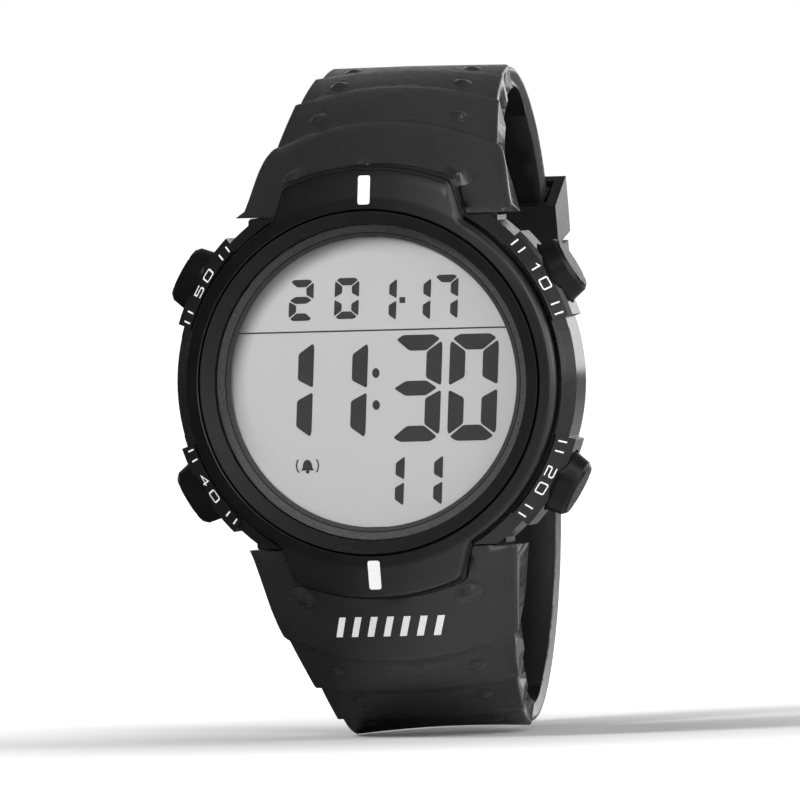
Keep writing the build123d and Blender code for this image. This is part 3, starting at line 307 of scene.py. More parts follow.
def clear_crystal():
    """Thin clear window: light passes, a little is mirrored."""
    s = Shader("crystal", (0.02, 0.02, 0.02, 1.0), 0.03)
    clear = s.node("ShaderNodeBsdfTransparent", Color=(0.99, 0.99, 0.99, 1.0))
    weight = s.node("ShaderNodeLayerWeight", Blend=0.12)
    s.rough(s.spread(s.noise(120.0, 2.0), 0.03, 0.06))
    mix = s.node("ShaderNodeMixShader")
    s.link(s.times(weight.outputs["Fresnel"], 0.55), mix.inputs[0])
    s.link(clear.outputs[0], mix.inputs[1])
    s.link(s.bsdf.outputs[0], mix.inputs[2])
    s.link(mix.outputs[0], s.tree.nodes["Material Output"].inputs["Surface"])
    return s.mat


SPECK_SCALE, SPECK_DEPTH, SPECK_STRENGTH = 1200.0, 0.006 * MM, 0.4
WHITE = (1.0, 1.0, 1.0, 1.0)


def plain(name, level, roughness, tint=(1.0, 1.0, 1.0), spot=4, specular=0.5, glow=0.0):
    """Small pieces: a tone with slight mottling and grain, and where asked a glow, painted light that
    brightens the piece evenly.
    """
    s = Shader(name, grey(level, tint), roughness, specular=specular)
    speck = s.noise(SPECK_SCALE, 3.0)
    light = grey(min(level + spot, 255), tint)
    s.color(s.mix(s.spread(speck, 0.0, 1.0), grey(level - spot, tint), light))
    s.rough(s.spread(speck, roughness - GLOSS_SPREAD, roughness + GLOSS_SPREAD))
    s.bump(speck, SPECK_DEPTH, SPECK_STRENGTH)
    s.bsdf.inputs["Emission Color"].default_value = WHITE
    s.bsdf.inputs["Emission Strength"].default_value = glow
    return s.mat


MATERIALS = {
    "keeper_resin": resin("keeper_resin", 26, 0.42),
    "case_resin": resin("case_resin", 30, 0.30),
    "bezel_coat": coated_bezel(),
    "dark_ring": plain("dark_ring", 32, 0.55, spot=2, specular=0.2),
    "crystal": clear_crystal(),
    "gasket": plain("gasket", 12, 0.6, spot=2),
    "dial_print": ring_print(),
    "display": display_glass(),
    "backlight": plain("backlight", 225, 0.5),
    "conductive_rubber": plain("conductive_rubber", 110, 0.6),
    "module_plastic": plain("module_plastic", 70, 0.5),
    "board": plain("board", 110, 0.4, tint=(0.25, 1.0, 0.45)),
    "chip": plain("chip", 30, 0.4),
    "steel": satin_metal("steel", 196, 0.32, (1.0, 1.0, 14.0)),
    "buzzer_brass": satin_metal("buzzer_brass", 205, 0.3, (1.0, 1.0, 10.0), tint=(1.0, 0.8, 0.42)),
    "marker_white": plain("marker_white", 250, 0.35, spot=2),
    "strap_resin": resin("strap_resin", 45, 0.42, 0.012 * MM),
    "buckle_steel": satin_metal("buckle_steel", 150, 0.36, (12.0, 1.0, 1.0)),
    "button_resin": resin("button_resin", 20, 0.34, specular=0.3),
    "spring_steel": satin_metal("spring_steel", 190, 0.3, (1.0, 10.0, 1.0)),
    # A darker copy of the strap's resin for the faces towards the wrist: painted shade inside the loop.
    "strap_inside_shaded": resin("strap_inside_shaded", 18, 0.6, specular=0.25),
    "dome_resin": resin("dome_resin", 45, 0.27, 0.006 * MM, soft_edges=False),
    # The white ink glows a little: painted light that keeps the print bright.
    "ink": plain("ink", 252, 0.5, spot=3, glow=0.12),
    "segments": plain("segments", 62, 0.5, spot=1),
}

slot_of = {s["node"]: s["material_slot"] for s in frame["record"]["subparts"]}
for name, obj in nodes.items():
    obj.data.materials.clear()
    obj.data.materials.append(MATERIALS[slot_of[name]])


# Bezel
BEZEL_BORE, BEZEL_RADIUS, BEZEL_TOP, BEZEL_BASE = 21.35, 23.0, 15.5, 10.75
BEZEL_SLOPE = math.tan(math.radians(16.2))
BEZEL_ROUND = 0.35
BEZEL_LIP = 0.12
BEZEL_TURNS = 720
WING_RADIUS, WING_BASE = 26.4, 12.0
WING_TIP, WING_FOOT = 22.9, 31.0
WING_BLUR, BLUR_STEPS = 0.9, 4
WING_CURVE = 1.25
FACE_SHARES = (0.25, 0.5, 0.75, 1.0)
ROUND_TURNS = (30, 60, 90)
BEZEL_EDGE = math.radians(32)


def wing_reach(turn):
    """Outer radius of the bezel at a number of degrees from its nearer wing's middle."""
    share = min(max((turn - WING_TIP) / (WING_FOOT - WING_TIP), 0.0), 1.0)
    return BEZEL_RADIUS + (WING_RADIUS - BEZEL_RADIUS) * (1.0 - share) ** WING_CURVE


def bezel_outer(turn):
    """The reach, blurred a little so that the wing's tips and feet are rounded."""
    steps = range(-BLUR_STEPS, BLUR_STEPS + 1)
    near = [wing_reach(abs(turn + WING_BLUR * step / BLUR_STEPS)) for step in steps]
    return sum(near) / len(near)


def bezel_section(reach):
    """Closed outline of the bezel's section, as radius and height pairs."""
    def face(radius):
        return BEZEL_TOP - (radius - BEZEL_BORE) * BEZEL_SLOPE

    inner = BEZEL_RADIUS - BEZEL_LIP
    wall_foot = BEZEL_BASE + BEZEL_LIP
    if reach > BEZEL_RADIUS + BEZEL_ROUND:
        wall_foot = WING_BASE
    lip = BEZEL_BORE + BEZEL_LIP
    section = [(BEZEL_BORE, BEZEL_BASE), (BEZEL_BORE, BEZEL_TOP - BEZEL_LIP), (lip, face(lip))]
    span = reach - BEZEL_ROUND - BEZEL_BORE
    section += [(BEZEL_BORE + span * share, face(BEZEL_BORE + span * share)) for share in FACE_SHARES]
    for degrees in ROUND_TURNS:
        bend = math.radians(degrees)
        radius = reach - BEZEL_ROUND * (1 - math.sin(bend))
        section.append((radius, face(reach) - BEZEL_ROUND * (1 - math.cos(bend))))
    section += [(reach, wall_foot), (inner, wall_foot), (inner, BEZEL_BASE)]
    return section


def bezel_shell():
    """Bezel ring and its two wings with one unbroken sloping face."""
    verts, faces = [], []
    for index in range(BEZEL_TURNS):
        angle = 2 * math.pi * index / BEZEL_TURNS
        from_noon = math.degrees(math.acos(min(1.0, abs(math.sin(angle)))))
        section = bezel_section(bezel_outer(from_noon))
        count = len(section)
        verts += [point(r * math.cos(angle), h, r * math.sin(angle)) for r, h in section]
        base, ahead = index * count, ((index + 1) % BEZEL_TURNS) * count
        for i in range(count):
            j = (i + 1) % count
            faces.append((base + i, base + j, ahead + j, ahead + i))
    obj = mesh_object("bezel_shell", verts, faces, MATERIALS["bezel_coat"], "watch")
    obj.data.set_sharp_from_angle(angle=BEZEL_EDGE)
    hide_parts("bezel")


bezel_shell()


# Pieces between the case and the strap
SKIRT_MARGIN = 0.4
SKIRT_TIP_HALF = 10.35
SKIRT_FOOT = (11.7, 20.45)
SKIRT_HEIGHTS = (3.0, 11.9)
SHOULDER_HALF = 15.6
SHOULDER_DEPTH = 2.6
SHOULDER_HEIGHTS = (3.0, 9.3)
SHOULDER_EDGE = 0.3
SKIRT_STEPS = 8


def add_prism(verts, faces, outline, heights, side):
    """Add a block with a plan and two heights, at twelve (1) or at six o'clock (-1)."""
    count = len(outline)
    foot = len(verts)
    head = foot + count
    for height in heights:
        verts += [point(x, height, side * z) for x, z in outline]
    blocks = []
    for i in range(count):
        j = (i + 1) % count
        blocks.append((foot + i, foot + j, head + j, head + i))
    blocks += [tuple(reversed(range(foot, head))), tuple(range(head, head + count))]
    faces += [face if side < 0 else face[::-1] for face in blocks]


def lug_skirts():
    """Dark resin round each wing and beside it, which closes the narrow gap to the strap's root."""
    verts, faces = [], []
    reach = WING_RADIUS + SKIRT_MARGIN
    half_turn = math.asin(SKIRT_TIP_HALF / reach)
    arc = [half_turn * (1 - step / SKIRT_STEPS) for step in range(2 * SKIRT_STEPS + 1)]
    foot, far = SKIRT_FOOT
    near = far - SHOULDER_DEPTH
    plan = [(foot, near), (foot, far)]
    plan += [(reach * math.sin(turn), reach * math.cos(turn)) for turn in arc]
    plan += [(-foot, far), (-foot, near)]
    slab = [(SHOULDER_HALF, near), (SHOULDER_HALF, far - SHOULDER_EDGE)]
    slab.append((SHOULDER_HALF - SHOULDER_EDGE, far))
    slab += [(-x, z) for x, z in reversed(slab)]
    for side in (1, -1):
        add_prism(verts, faces, plan, SKIRT_HEIGHTS, side)
        add_prism(verts, faces, slab, SHOULDER_HEIGHTS, side)
    obj = mesh_object("lug_skirts", verts, faces, MATERIALS["case_resin"], "watch", smooth=False)


lug_skirts()


BACK_CENTRE = (-29.0, 11.5)
TAIL_INNER, TAIL_OUTER, TAIL_HALF = 26.6, 28.8, 10.9
TAIL_SPAN = (10, 23)
TAIL_EDGE = 0.35


def tail_end():
    """Squared end of the strap's tail inside the sliding keeper."""
    verts, faces = [], []
    low, high, half, edge = TAIL_INNER, TAIL_OUTER, TAIL_HALF, TAIL_EDGE
    section = [(-half, low), (half, low), (half, high - edge)]
    section += [(half - edge, high), (edge - half, high), (-half, high - edge)]
    count = len(section)
    turns = range(TAIL_SPAN[0], TAIL_SPAN[1] + 1)
    for turn in turns:
        angle = math.radians(turn)
        for x, radius in section:
            height = BACK_CENTRE[0] - radius * math.cos(angle)
            verts.append(point(x, height, BACK_CENTRE[1] + radius * math.sin(angle)))
    for step in range(len(turns) - 1):
        base, ahead = step * count, (step + 1) * count
        for i in range(count):
            j = (i + 1) % count
            faces.append((base + i, base + j, ahead + j, ahead + i))
    last = (len(turns) - 1) * count
    faces += [tuple(reversed(range(count))), tuple(last + i for i in range(count))]
    obj = mesh_object("tail_end", verts, faces, MATERIALS["strap_resin"], "watch", smooth=False)


tail_end()


# Strap halves
# Runs are four depths behind the dial's origin between which a change grows, stays and fades.
WALL_FACING = 0.9
WRIST_FACING = 0.5
WALL_SPREAD = 0.75
WALL_SPREAD_RUN = (-30.0, -29.0, 30.0, 42.0)
LOOP_MIDDLE = (29.0, -2.0)
STRAP_EDGE = math.radians(28)
STRAP_HALF = 11.0 * MM
STRAP_REACH = 1.2
# How far a half moves up in its middle, more at its sides, and more towards the right.
STRAP_SHAPES = {"strap_upper": (0.0, 0.65, 0.0), "strap_lower": (0.95, -1.15, 0.33)}
STRAP_LEVEL_RUN = (2.0, 12.0, 32.0, 44.0)
STRAP_WIDEN = 0.03
STRAP_WIDEN_RUN = (-12.0, -2.0, 3.0, 9.0)
STRAP_WIDEN_FROM = (12.2, 14.5)


def ramp_over(value, run):
    """A share that rises, stays at one and falls again over four places."""
    rise = (value - run[0]) / (run[1] - run[0])
    fall = (run[3] - value) / (run[3] - run[2])
    return min(max(min(rise, fall), 0.0), 1.0)


def is_side_wall(face):
    """Whether a face of the strap looks outwards to the left or the right."""
    return face.normal.x * math.copysign(1.0, face.calc_center_median().x) > WALL_FACING


def faces_wrist(face):
    """Whether a face looks at the wrist, from the loop's middle."""
    inward = Vector((0.0, *LOOP_MIDDLE)) * MM - face.calc_center_median()
    inward.x = 0.0
    return face.normal.dot(inward.normalized()) > WRIST_FACING


def strap_shift(name, x, depth):
    """How far a place on a strap half moves up, in metres."""
    middle, slope, tilt = STRAP_SHAPES[name]
    across = min(max(x / STRAP_HALF, -STRAP_REACH), STRAP_REACH)
    return (middle + slope * across ** 2 + tilt * across) * ramp_over(depth, STRAP_LEVEL_RUN) * MM


def shaped_strap(name):
    """A copy of a strap half, with its side walls spread at the foot and its far part moved."""
    source = nodes[name]
    shape = bmesh.new()
    shape.from_mesh(source.data)
    shape.transform(source.matrix_world)
    bmesh.ops.remove_doubles(shape, verts=shape.verts, dist=0.001 * MM)
    # Faces towards the wrist take the darker second material, painted shade inside the strap's loop.
    inside = [face for face in shape.faces if faces_wrist(face)]
    rims = {vert for face in inside for vert in face.verts}
    feet = {vert for vert in rims if any(is_side_wall(near) for near in vert.link_faces)}
    for face in inside:
        face.material_index = 1
    for vert in shape.verts:
        depth = vert.co.y / MM
        if vert in feet:
            vert.co.x += math.copysign(WALL_SPREAD * MM, vert.co.x) * ramp_over(depth, WALL_SPREAD_RUN)
        vert.co.z += strap_shift(name, vert.co.x, depth)
        start, end = STRAP_WIDEN_FROM
        outer = min(max((abs(vert.co.x) / MM - start) / (end - start), 0.0), 1.0)
        vert.co.x *= 1.0 + STRAP_WIDEN * ramp_over(depth, STRAP_WIDEN_RUN) * outer
    mesh = bpy.data.meshes.new(name + "_shaped")
    shape.to_mesh(mesh)
    shape.free()
    obj = bpy.data.objects.new(name + "_shaped", mesh)
    bpy.context.scene.collection.objects.link(obj)
    mesh.materials.append(MATERIALS["strap_resin"])
    mesh.materials.append(MATERIALS["strap_inside_shaded"])
    for face in mesh.polygons:
        face.use_smooth = abs(face.normal.x) < WALL_FACING and face.material_index == 0
    mesh.set_sharp_from_angle(angle=STRAP_EDGE)
    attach(obj, "watch")
    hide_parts(name)
    return obj


STRAPS = {name: shaped_strap(name) for name in STRAP_SHAPES}


KEEPER_START, KEEPER_SHARE = 10.5, 0.82
KEEPER_EDGE, KEEPER_EDGE_STEPS = 0.3 * MM, 3


def shaped_keeper():
    """The sliding keeper, a little shorter along the strap than its solid and with rounded edges."""
    source = nodes["free_keeper"]
    mesh = source.data.copy()
    mesh.transform(source.matrix_world)
    centre = point(0.0, *BACK_CENTRE)
    for vert in mesh.vertices:
        y, z = vert.co.y - centre.y, vert.co.z - centre.z
        radius, turn = math.hypot(y, z), math.degrees(math.atan2(z, y))
        turn = math.radians(KEEPER_START + (turn - KEEPER_START) * KEEPER_SHARE)
        vert.co.y = centre.y + radius * math.cos(turn)
        vert.co.z = centre.z + radius * math.sin(turn)
    obj = bpy.data.objects.new("free_keeper_shaped", mesh)
    bpy.context.scene.collection.objects.link(obj)
    bevel = obj.modifiers.new("edges", "BEVEL")
    bevel.width = KEEPER_EDGE
    bevel.segments = KEEPER_EDGE_STEPS
    mesh.materials.clear()
    mesh.materials.append(MATERIALS["keeper_resin"])
    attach(obj, "keeper")
    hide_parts("free_keeper")


shaped_keeper()


# Domes and printed bars on the strap
def surface_of(name):
    """Search tree over the faces of a shaped strap half."""
    mesh = STRAPS[name].data
    return BVHTree.FromPolygons([v.co for v in mesh.vertices], [tuple(p.vertices) for p in mesh.polygons])


# Each pair of dimples as its solids have it: distance from the middle, height, place along +Z, and
# the two angles of its face.
DOME_PLACES = {
    "strap_upper": (
        (10.4, 6.62, 25.37, 58.2, 21.3), (8.9, -3.5, 32.43, 35.4, 19.3),
        (7.8, -12.66, 36.13, 24.0, 14.6), (7.5, -21.52, 37.8, 13.4, 9.3),
    ),
    "strap_lower": (
        (10.4, 7.22, -26.36, 61.8, 21.8), (8.9, -5.44, -35.96, 31.5, 18.7),
        (7.8, -15.07, -40.15, 32.1, 14.6), (7.5, -24.28, -43.53, 19.9, 9.5),
    ),
}
DOME_REACH = (1.85, 1.3, 1.25, 1.2)
DOME_RISE = (0.80, 0.52, 0.42, 0.28)
DOME_OUTER = 1.3
DOME_CROWN = 0.2 * MM
DOME_STRAY = 0.25 * MM
DOME_FITS = 6
DOME_PROBE = 3 * MM
DOME_RINGS = (0.94, 0.86, 0.76, 0.65, 0.53, 0.40, 0.27, 0.14)
DOME_SPOKES = 28
DOME_LIFT = 0.035


def wave(values, turns):
    """The part of values round a circle that rises and falls a number of times."""
    count = len(values)
    if turns == 0:
        return [sum(values) / count] * count
    angles = [2 * math.pi * turns * i / count for i in range(count)]
    along = 2 * sum(value * math.cos(angle) for value, angle in zip(values, angles)) / count
    across = 2 * sum(value * math.sin(angle) for value, angle in zip(values, angles)) / count
    return [along * math.cos(angle) + across * math.sin(angle) for angle in angles]


def dome(verts, faces, name, surface, place, reach, rise, side):
    """A low dome over one dimple, seated on the strap's face all round its rim."""
    x, height, z, facing, tilt = place
    facing, tilt = math.radians(facing), math.radians(tilt)
    up = 1 if z > 0 else -1
    centre = point(side * x, height, z)
    centre.z += strap_shift(name, centre.x, -height)
    flat = math.cos(tilt)
    out = Vector((side * math.sin(tilt), -flat * math.sin(facing), up * flat * math.cos(facing)))
    across = out.orthogonal().normalized()
    along = out.cross(across)
    spokes = []
    for spoke in range(DOME_SPOKES):
        angle = 2 * math.pi * spoke / DOME_SPOKES
        spokes.append((across * math.cos(angle) + along * math.sin(angle)) * (reach * MM))

    def level(at):
        """Height of the strap's face over a place."""
        hit = surface.ray_cast(at + out * DOME_PROBE, -out, 2 * DOME_PROBE)[0]
        return (hit - at).dot(out) if hit is not None else 0.0

    def levels(scale):
        """Mean, tilt and bend of the face round the dome, without odd places beside a notch or step."""
        found = [level(centre + spoke * scale) for spoke in spokes]
        fit = [sorted(found)[DOME_SPOKES // 2]] * DOME_SPOKES
        for _ in range(DOME_FITS):
            kept = [value if abs(value - near) < DOME_STRAY else near for value, near in zip(found, fit)]
            waves = [wave(kept, turns) for turns in (0, 1, 2)]
            fit = [sum(parts) for parts in zip(*waves)]
        return waves

    mean, tilted, bent = levels(1.0)
    beyond = levels(DOME_OUTER)[0]
    fall = (mean[0] - beyond[0]) / (DOME_OUTER ** 2 - 1)
    top = mean[0] + min(max(fall, 0.0), DOME_CROWN)
    base = len(verts)
    for share in (1.0,) + DOME_RINGS:
        lift = -DOME_LIFT
        if share < 1.0:
            lift = DOME_LIFT + rise * math.cos(share * math.pi / 2) ** 2
        for spoke, level_part, tilt_part, bend_part in zip(spokes, mean, tilted, bent):
            seat = top + tilt_part * share + (level_part + bend_part - top) * share ** 2
            verts.append(centre + spoke * share + out * (seat + lift * MM))
    verts.append(centre + out * (top + (rise + DOME_LIFT) * MM))
    for ring in range(len(DOME_RINGS)):
        for i in range(DOME_SPOKES):
            j = (i + 1) % DOME_SPOKES
            low, high = base + ring * DOME_SPOKES, base + (ring + 1) * DOME_SPOKES
            faces.append((low + i, low + j, high + j, high + i))
    last = base + len(DOME_RINGS) * DOME_SPOKES
    faces += [(last + i, last + (i + 1) % DOME_SPOKES, len(verts) - 1) for i in range(DOME_SPOKES)]


def strap_domes():
    """The domed dimples of both strap halves."""
    verts, faces = [], []
    for name, places in DOME_PLACES.items():
        surface = surface_of(name)
        for place, reach, rise in zip(places, DOME_REACH, DOME_RISE):
            for side in (-1, 1):
                dome(verts, faces, name, surface, place, reach, rise, side)
    obj = mesh_object("strap_domes", verts, faces, MATERIALS["dome_resin"], "watch")


strap_domes()


BAR_COUNT = 7
BAR_PITCH = 2.05
BAR_WIDTH = 0.85
BAR_SLANT = 1.0
BAR_LEVELS = (-29.0, -29.5, -30.0, -30.5, -31.0, -31.5)
BAR_LIFT = 0.05
BAR_PROBE = 40.0


def strap_bars():
    """A row of plain white slanted bars printed on the lower strap."""
    surface = surface_of("strap_lower")
    verts, faces = [], []

    def printed(x, z):
        """The place just above the strap that shows at a place of the front view."""
        hit, normal = surface.ray_cast(point(x, BAR_PROBE, z), Vector((0, 1, 0)))[:2]
        return hit + normal * (BAR_LIFT * MM)

    for index in range(BAR_COUNT):
        middle = (index - (BAR_COUNT - 1) / 2) * BAR_PITCH
        base = len(verts)
        for z in BAR_LEVELS:
            lean = (z - BAR_LEVELS[-1]) / (BAR_LEVELS[0] - BAR_LEVELS[-1]) - 0.5
            centre = middle + lean * BAR_SLANT
            verts += [printed(centre + share * BAR_WIDTH, z) for share in (-0.5, 0.0, 0.5)]
        for row in range(len(BAR_LEVELS) - 1):
            for column in (0, 1):
                at = base + row * 3 + column
                faces.append((at, at + 3, at + 4, at + 1))
    obj = mesh_object("strap_bars", verts, faces, MATERIALS["ink"], "watch")


strap_bars()


# Display
LCD_FACE = 11.605
LCD_INK = 0.02


class Flat:
    """Collects flat outlines, each placed on a face and given the thickness of a printed layer."""

    def __init__(self):
        self.verts = []
        self.faces = []

    def add(self, outline, place, layer):
        """Add one outline. The place function turns a flat point and a height into a place."""
        base = len(self.verts)
        count = len(outline)
        for lift in (0.0, layer):
            for u, v in outline:
                self.verts.append(place(u, v, lift))
        self.faces.append(tuple(base + count + i for i in range(count)))
        self.faces.append(tuple(base + i for i in reversed(range(count))))
        for i in range(count):
            j = (i + 1) % count
            self.faces.append((base + i, base + j, base + count + j, base + count + i))


def on_display(x, z, lift):
    """A place over the display's face."""
    return point(x, LCD_FACE + lift, z)


# Segments run clockwise from a at the top to f, with g in the middle.
SEGMENTS_OF = {"0": "abcdef", "1": "bc", "2": "abged", "3": "abgcd", "7": "abc"}
SEGMENT_ROUND = 0.16
DIGIT_LEAN = math.tan(math.radians(3.6))
CORNER_STEPS, CORNER_SHARE = 3, 0.45


def flip_x(outline):
    """The outline with left and right exchanged, in the same direction of turning."""
    return [(-x, y) for x, y in reversed(outline)]


def flip_y(outline):
    """The outline with top and bottom exchanged, in the same direction of turning."""
    return [(x, -y) for x, y in reversed(outline)]


def segment_outline(key, size, thick, gap):
    """One segment of a digit in its cell, with the cell's centre at 0, 0."""
    x, y = size[0] / 2, size[1] / 2
    half = [(x - 0.6 * thick, y), (x - 0.05 * thick - gap, y - 0.28 * thick)]
    half.append((x - thick - 0.15 * gap, y - thick))
    top = [*half, *flip_x(half)]
    right = [(x - 0.08 * thick, y - 0.42 * thick), (x, y - 0.7 * thick)]
    right += [(x, 0.2 * thick + gap / 2), (x - 0.08 * thick, 0.12 * thick + gap / 2)]
    right += [(x - thick, 0.55 * thick + gap), (x - thick, y - thick - 0.75 * gap)]
    rise, left_end, right_end = 0.47 * thick, -x + 0.85 * thick, x - 0.95 * thick
    middle = [(left_end, rise), (right_end, rise), (x - 0.25 * thick, 0)]
    middle += [(right_end, -rise), (left_end, -rise), (-x + 0.1 * thick, 0)]
    shapes = {
        "a": top, "b": right, "g": middle, "d": flip_y(top), "c": flip_y(right),
        "f": flip_x(right), "e": flip_x(flip_y(right)),
    }
    return shapes[key]


def rounded(outline, radius):
    """The outline with small arcs at its corners."""
    out = []
    count = len(outline)
    for i in range(count):
        p = Vector(outline[i])
        a = Vector(outline[i - 1]) - p
        b = Vector(outline[(i + 1) % count]) - p
        reach = min(radius, a.length * CORNER_SHARE, b.length * CORNER_SHARE)
        start = p + a.normalized() * reach
        end = p + b.normalized() * reach
        for k in range(CORNER_STEPS + 1):
            f = k / CORNER_STEPS
            q = start.lerp(p, f).lerp(p.lerp(end, f), f)
            out.append((q.x, q.y))
    return out


def disc_outline(centre, rx, ry, count=28):
    """An oval round a centre."""
    turns = [2 * math.pi * i / count for i in range(count)]
    return [(centre[0] + rx * math.cos(turn), centre[1] + ry * math.sin(turn)) for turn in turns]


def box_outline(centre, w, h):
    """A rectangle round a centre."""
    x, y = w / 2, h / 2
    return [(centre[0] + u, centre[1] + v) for u, v in ((-x, -y), (x, -y), (x, y), (-x, y))]


# Each row: a digit's cell, the segments' thickness, the gap between them, the digits and their centres.
DIGIT_ROWS = (
    ((6.1, 13.15), 1.95, 0.2, "1130", ((-10.7, -0.8), (-3.95, -1.0), (5.34, -0.88), (12.4, -0.92))),
    ((3.3, 6.95), 1.12, 0.17, "11", ((1.8, -12.27), (6.6, -12.27))),
    ((3.05, 5.05), 0.92, 0.15, "20", ((-8.8, 10.28), (-3.1, 10.38))),
    ((3.05, 5.8), 0.95, 0.15, "117", ((1.6, 10.1), (5.87, 10.05), (9.3, 10.1))),
)
COLON_DOTS, COLON_SIZE = ((0.28, 1.1), (0.22, -2.84)), (0.46, 0.6)
DATE_DOT, DATE_DOT_SIZE = (3.85, 10.0), 0.72
RULE_CENTRE, RULE_SIZE = (-0.025, 6.37), (34.75, 0.18)
BELL_PLACE, BELL_ROUND = (-8.6, -10.2), 0.12
BELL_HALF = ((0.85, -0.5), (0.62, -0.2), (0.55, 0.35), (0.35, 0.68), (0.12, 0.82))
CLAPPER_PLACE, CLAPPER_SIZE = (-8.6, -10.88), (0.24, 0.2, 16)
SOUND_CENTRE, SOUND_INNER, SOUND_OUTER = (-8.6, -10.1), 1.28, 1.46
SOUND_TURNS = range(-38, 39, 6)


def sound_arc(side):
    """A thin arc at the left or the right of the bell."""
    def curve(radius):
        turns = [math.radians(turn) for turn in SOUND_TURNS]
        return [(side * radius * math.cos(turn), radius * math.sin(turn)) for turn in turns]

    arc = curve(SOUND_INNER) + curve(SOUND_OUTER)[::-1]
    return [(x + SOUND_CENTRE[0], y + SOUND_CENTRE[1]) for x, y in arc[::side]]


def display_ink():
    """The display's digits, the line over them and the bell."""
    flat = Flat()

    def ink(outline):
        flat.add(outline, on_display, LCD_INK)

    for size, thick, gap, text, centres in DIGIT_ROWS:
        for char, (x0, y0) in zip(text, centres):
            for key in SEGMENTS_OF[char]:
                outline = rounded(segment_outline(key, size, thick, gap), thick * SEGMENT_ROUND)
                ink([(x + y * DIGIT_LEAN + x0, y + y0) for x, y in outline])
    for centre in COLON_DOTS:
        ink(disc_outline(centre, *COLON_SIZE))
    ink(box_outline(DATE_DOT, DATE_DOT_SIZE, DATE_DOT_SIZE))
    ink(box_outline(RULE_CENTRE, *RULE_SIZE))
    bell = [*BELL_HALF, *flip_x(BELL_HALF)]
    ink([(x + BELL_PLACE[0], y + BELL_PLACE[1]) for x, y in rounded(bell, BELL_ROUND)])
    ink(disc_outline(CLAPPER_PLACE, *CLAPPER_SIZE))
    for side in (-1, 1):
        ink(sound_arc(side))
    obj = mesh_object("display_ink", flat.verts, flat.faces, MATERIALS["segments"], "watch", smooth=False)


display_ink()


# Printed marks on the guard blocks
# The sloping face's two edges as radius and height, and each block's angle above three o'clock, its
# number, and -1 where the number's top points outwards.
GUARD_OUTER = (25.4, 9.9)
GUARD_INNER = (23.75, 12.0)
GUARD_NUMBERS = ((30.9, "10", -1), (-30.9, "20", -1), (149.1, "50", -1), (210.9, "40", 1))
MARK_GAP, MARK_INK = 0.012, 0.015
MARK_SIZE, MARK_STROKE, MARK_PITCH = 1.5, 0.2, 2.3
MITRE_LIMIT = 0.5
TICK_PLACES = (-5.2, -3.9, 3.9, 5.2)


def on_guard(clock_angle, inward):
    """Placing function for marks on a guard block's sloping face, centred at an angle."""
    unit = (Vector(GUARD_INNER) - Vector(GUARD_OUTER)).normalized()
    normal = Vector((unit.y, -unit.x))
    mid = (Vector(GUARD_OUTER) + Vector(GUARD_INNER)) / 2

    def place(u, v, lift):
        at = mid + unit * (v * inward) + normal * (lift + MARK_GAP)
        angle = math.radians(clock_angle) + inward * u / mid.x
        return point(at.x * math.cos(angle), at.y, at.x * math.sin(angle))

    return place


def stroke(points, width):
    """Flat band of a width along a line of points, with mitred bends."""
    pts = [Vector(p) for p in points]
    runs = [(b - a).normalized() for a, b in zip(pts, pts[1:])]
    left, right = [], []
    for p, before, after in zip(pts, [runs[0], *runs], [*runs, runs[-1]]):
        along = (before + after).normalized()
        side = Vector((-along.y, along.x))
        reach = width / 2 / max(MITRE_LIMIT, side.dot(Vector((-before.y, before.x))))
        left.append(p + side * reach)
        right.append(p - side * reach)
    corners = zip(left, right, right[1:], left[1:])
    return [[tuple(corner) for corner in quad] for quad in corners]


GLYPHS = {
    "0": [(-0.35, -0.5), (0.35, -0.5), (0.45, -0.4), (0.45, 0.4), (0.35, 0.5), (-0.35, 0.5),
          (-0.45, 0.4), (-0.45, -0.4), (-0.35, -0.5)],
    "1": [(-0.25, 0.3), (0.05, 0.5), (0.05, -0.5)],
    "2": [(-0.42, 0.5), (0.3, 0.5), (0.42, 0.4), (0.42, 0.08), (0.3, -0.02), (-0.3, -0.02),
          (-0.42, -0.12), (-0.42, -0.5), (0.45, -0.5)],
    "4": [(0.22, -0.5), (0.22, 0.5), (-0.45, -0.18), (0.45, -0.18)],
    "5": [(0.42, 0.5), (-0.4, 0.5), (-0.4, 0.05), (0.3, 0.05), (0.42, -0.05), (0.42, -0.4),
          (0.3, -0.5), (-0.42, -0.5)],
}


def guard_marks():
    """Minute numbers with ticks on the four guard blocks."""
    flat = Flat()
    for angle, text, inward in GUARD_NUMBERS:
        place = on_guard(angle, inward)
        for index, char in enumerate(text):
            shift = (index - 0.5) * MARK_PITCH
            line = [(x * MARK_SIZE + shift, y * MARK_SIZE) for x, y in GLYPHS[char]]
            for quad in stroke(line, MARK_STROKE):
                flat.add(quad, place, MARK_INK)
        for shift in TICK_PLACES:
            flat.add(box_outline((shift, 0.0), MARK_STROKE, MARK_SIZE), place, MARK_INK)
    obj = mesh_object("guard_marks", flat.verts, flat.faces, MATERIALS["ink"], "watch", smooth=False)


guard_marks()


# Camera
PHOTO_SIDE, PIXELS_PER_MM = 800, 8.12
AZIMUTH, ELEVATION, ROLL = math.radians(10.3), math.radians(1.0), math.radians(1.6)
DISTANCE = 4.0
SENSOR = 36.0
DIAL_HEIGHT = 11.5
AIM_RIGHT, AIM_DOWN = 26 / PIXELS_PER_MM * MM, 18 / PIXELS_PER_MM * MM


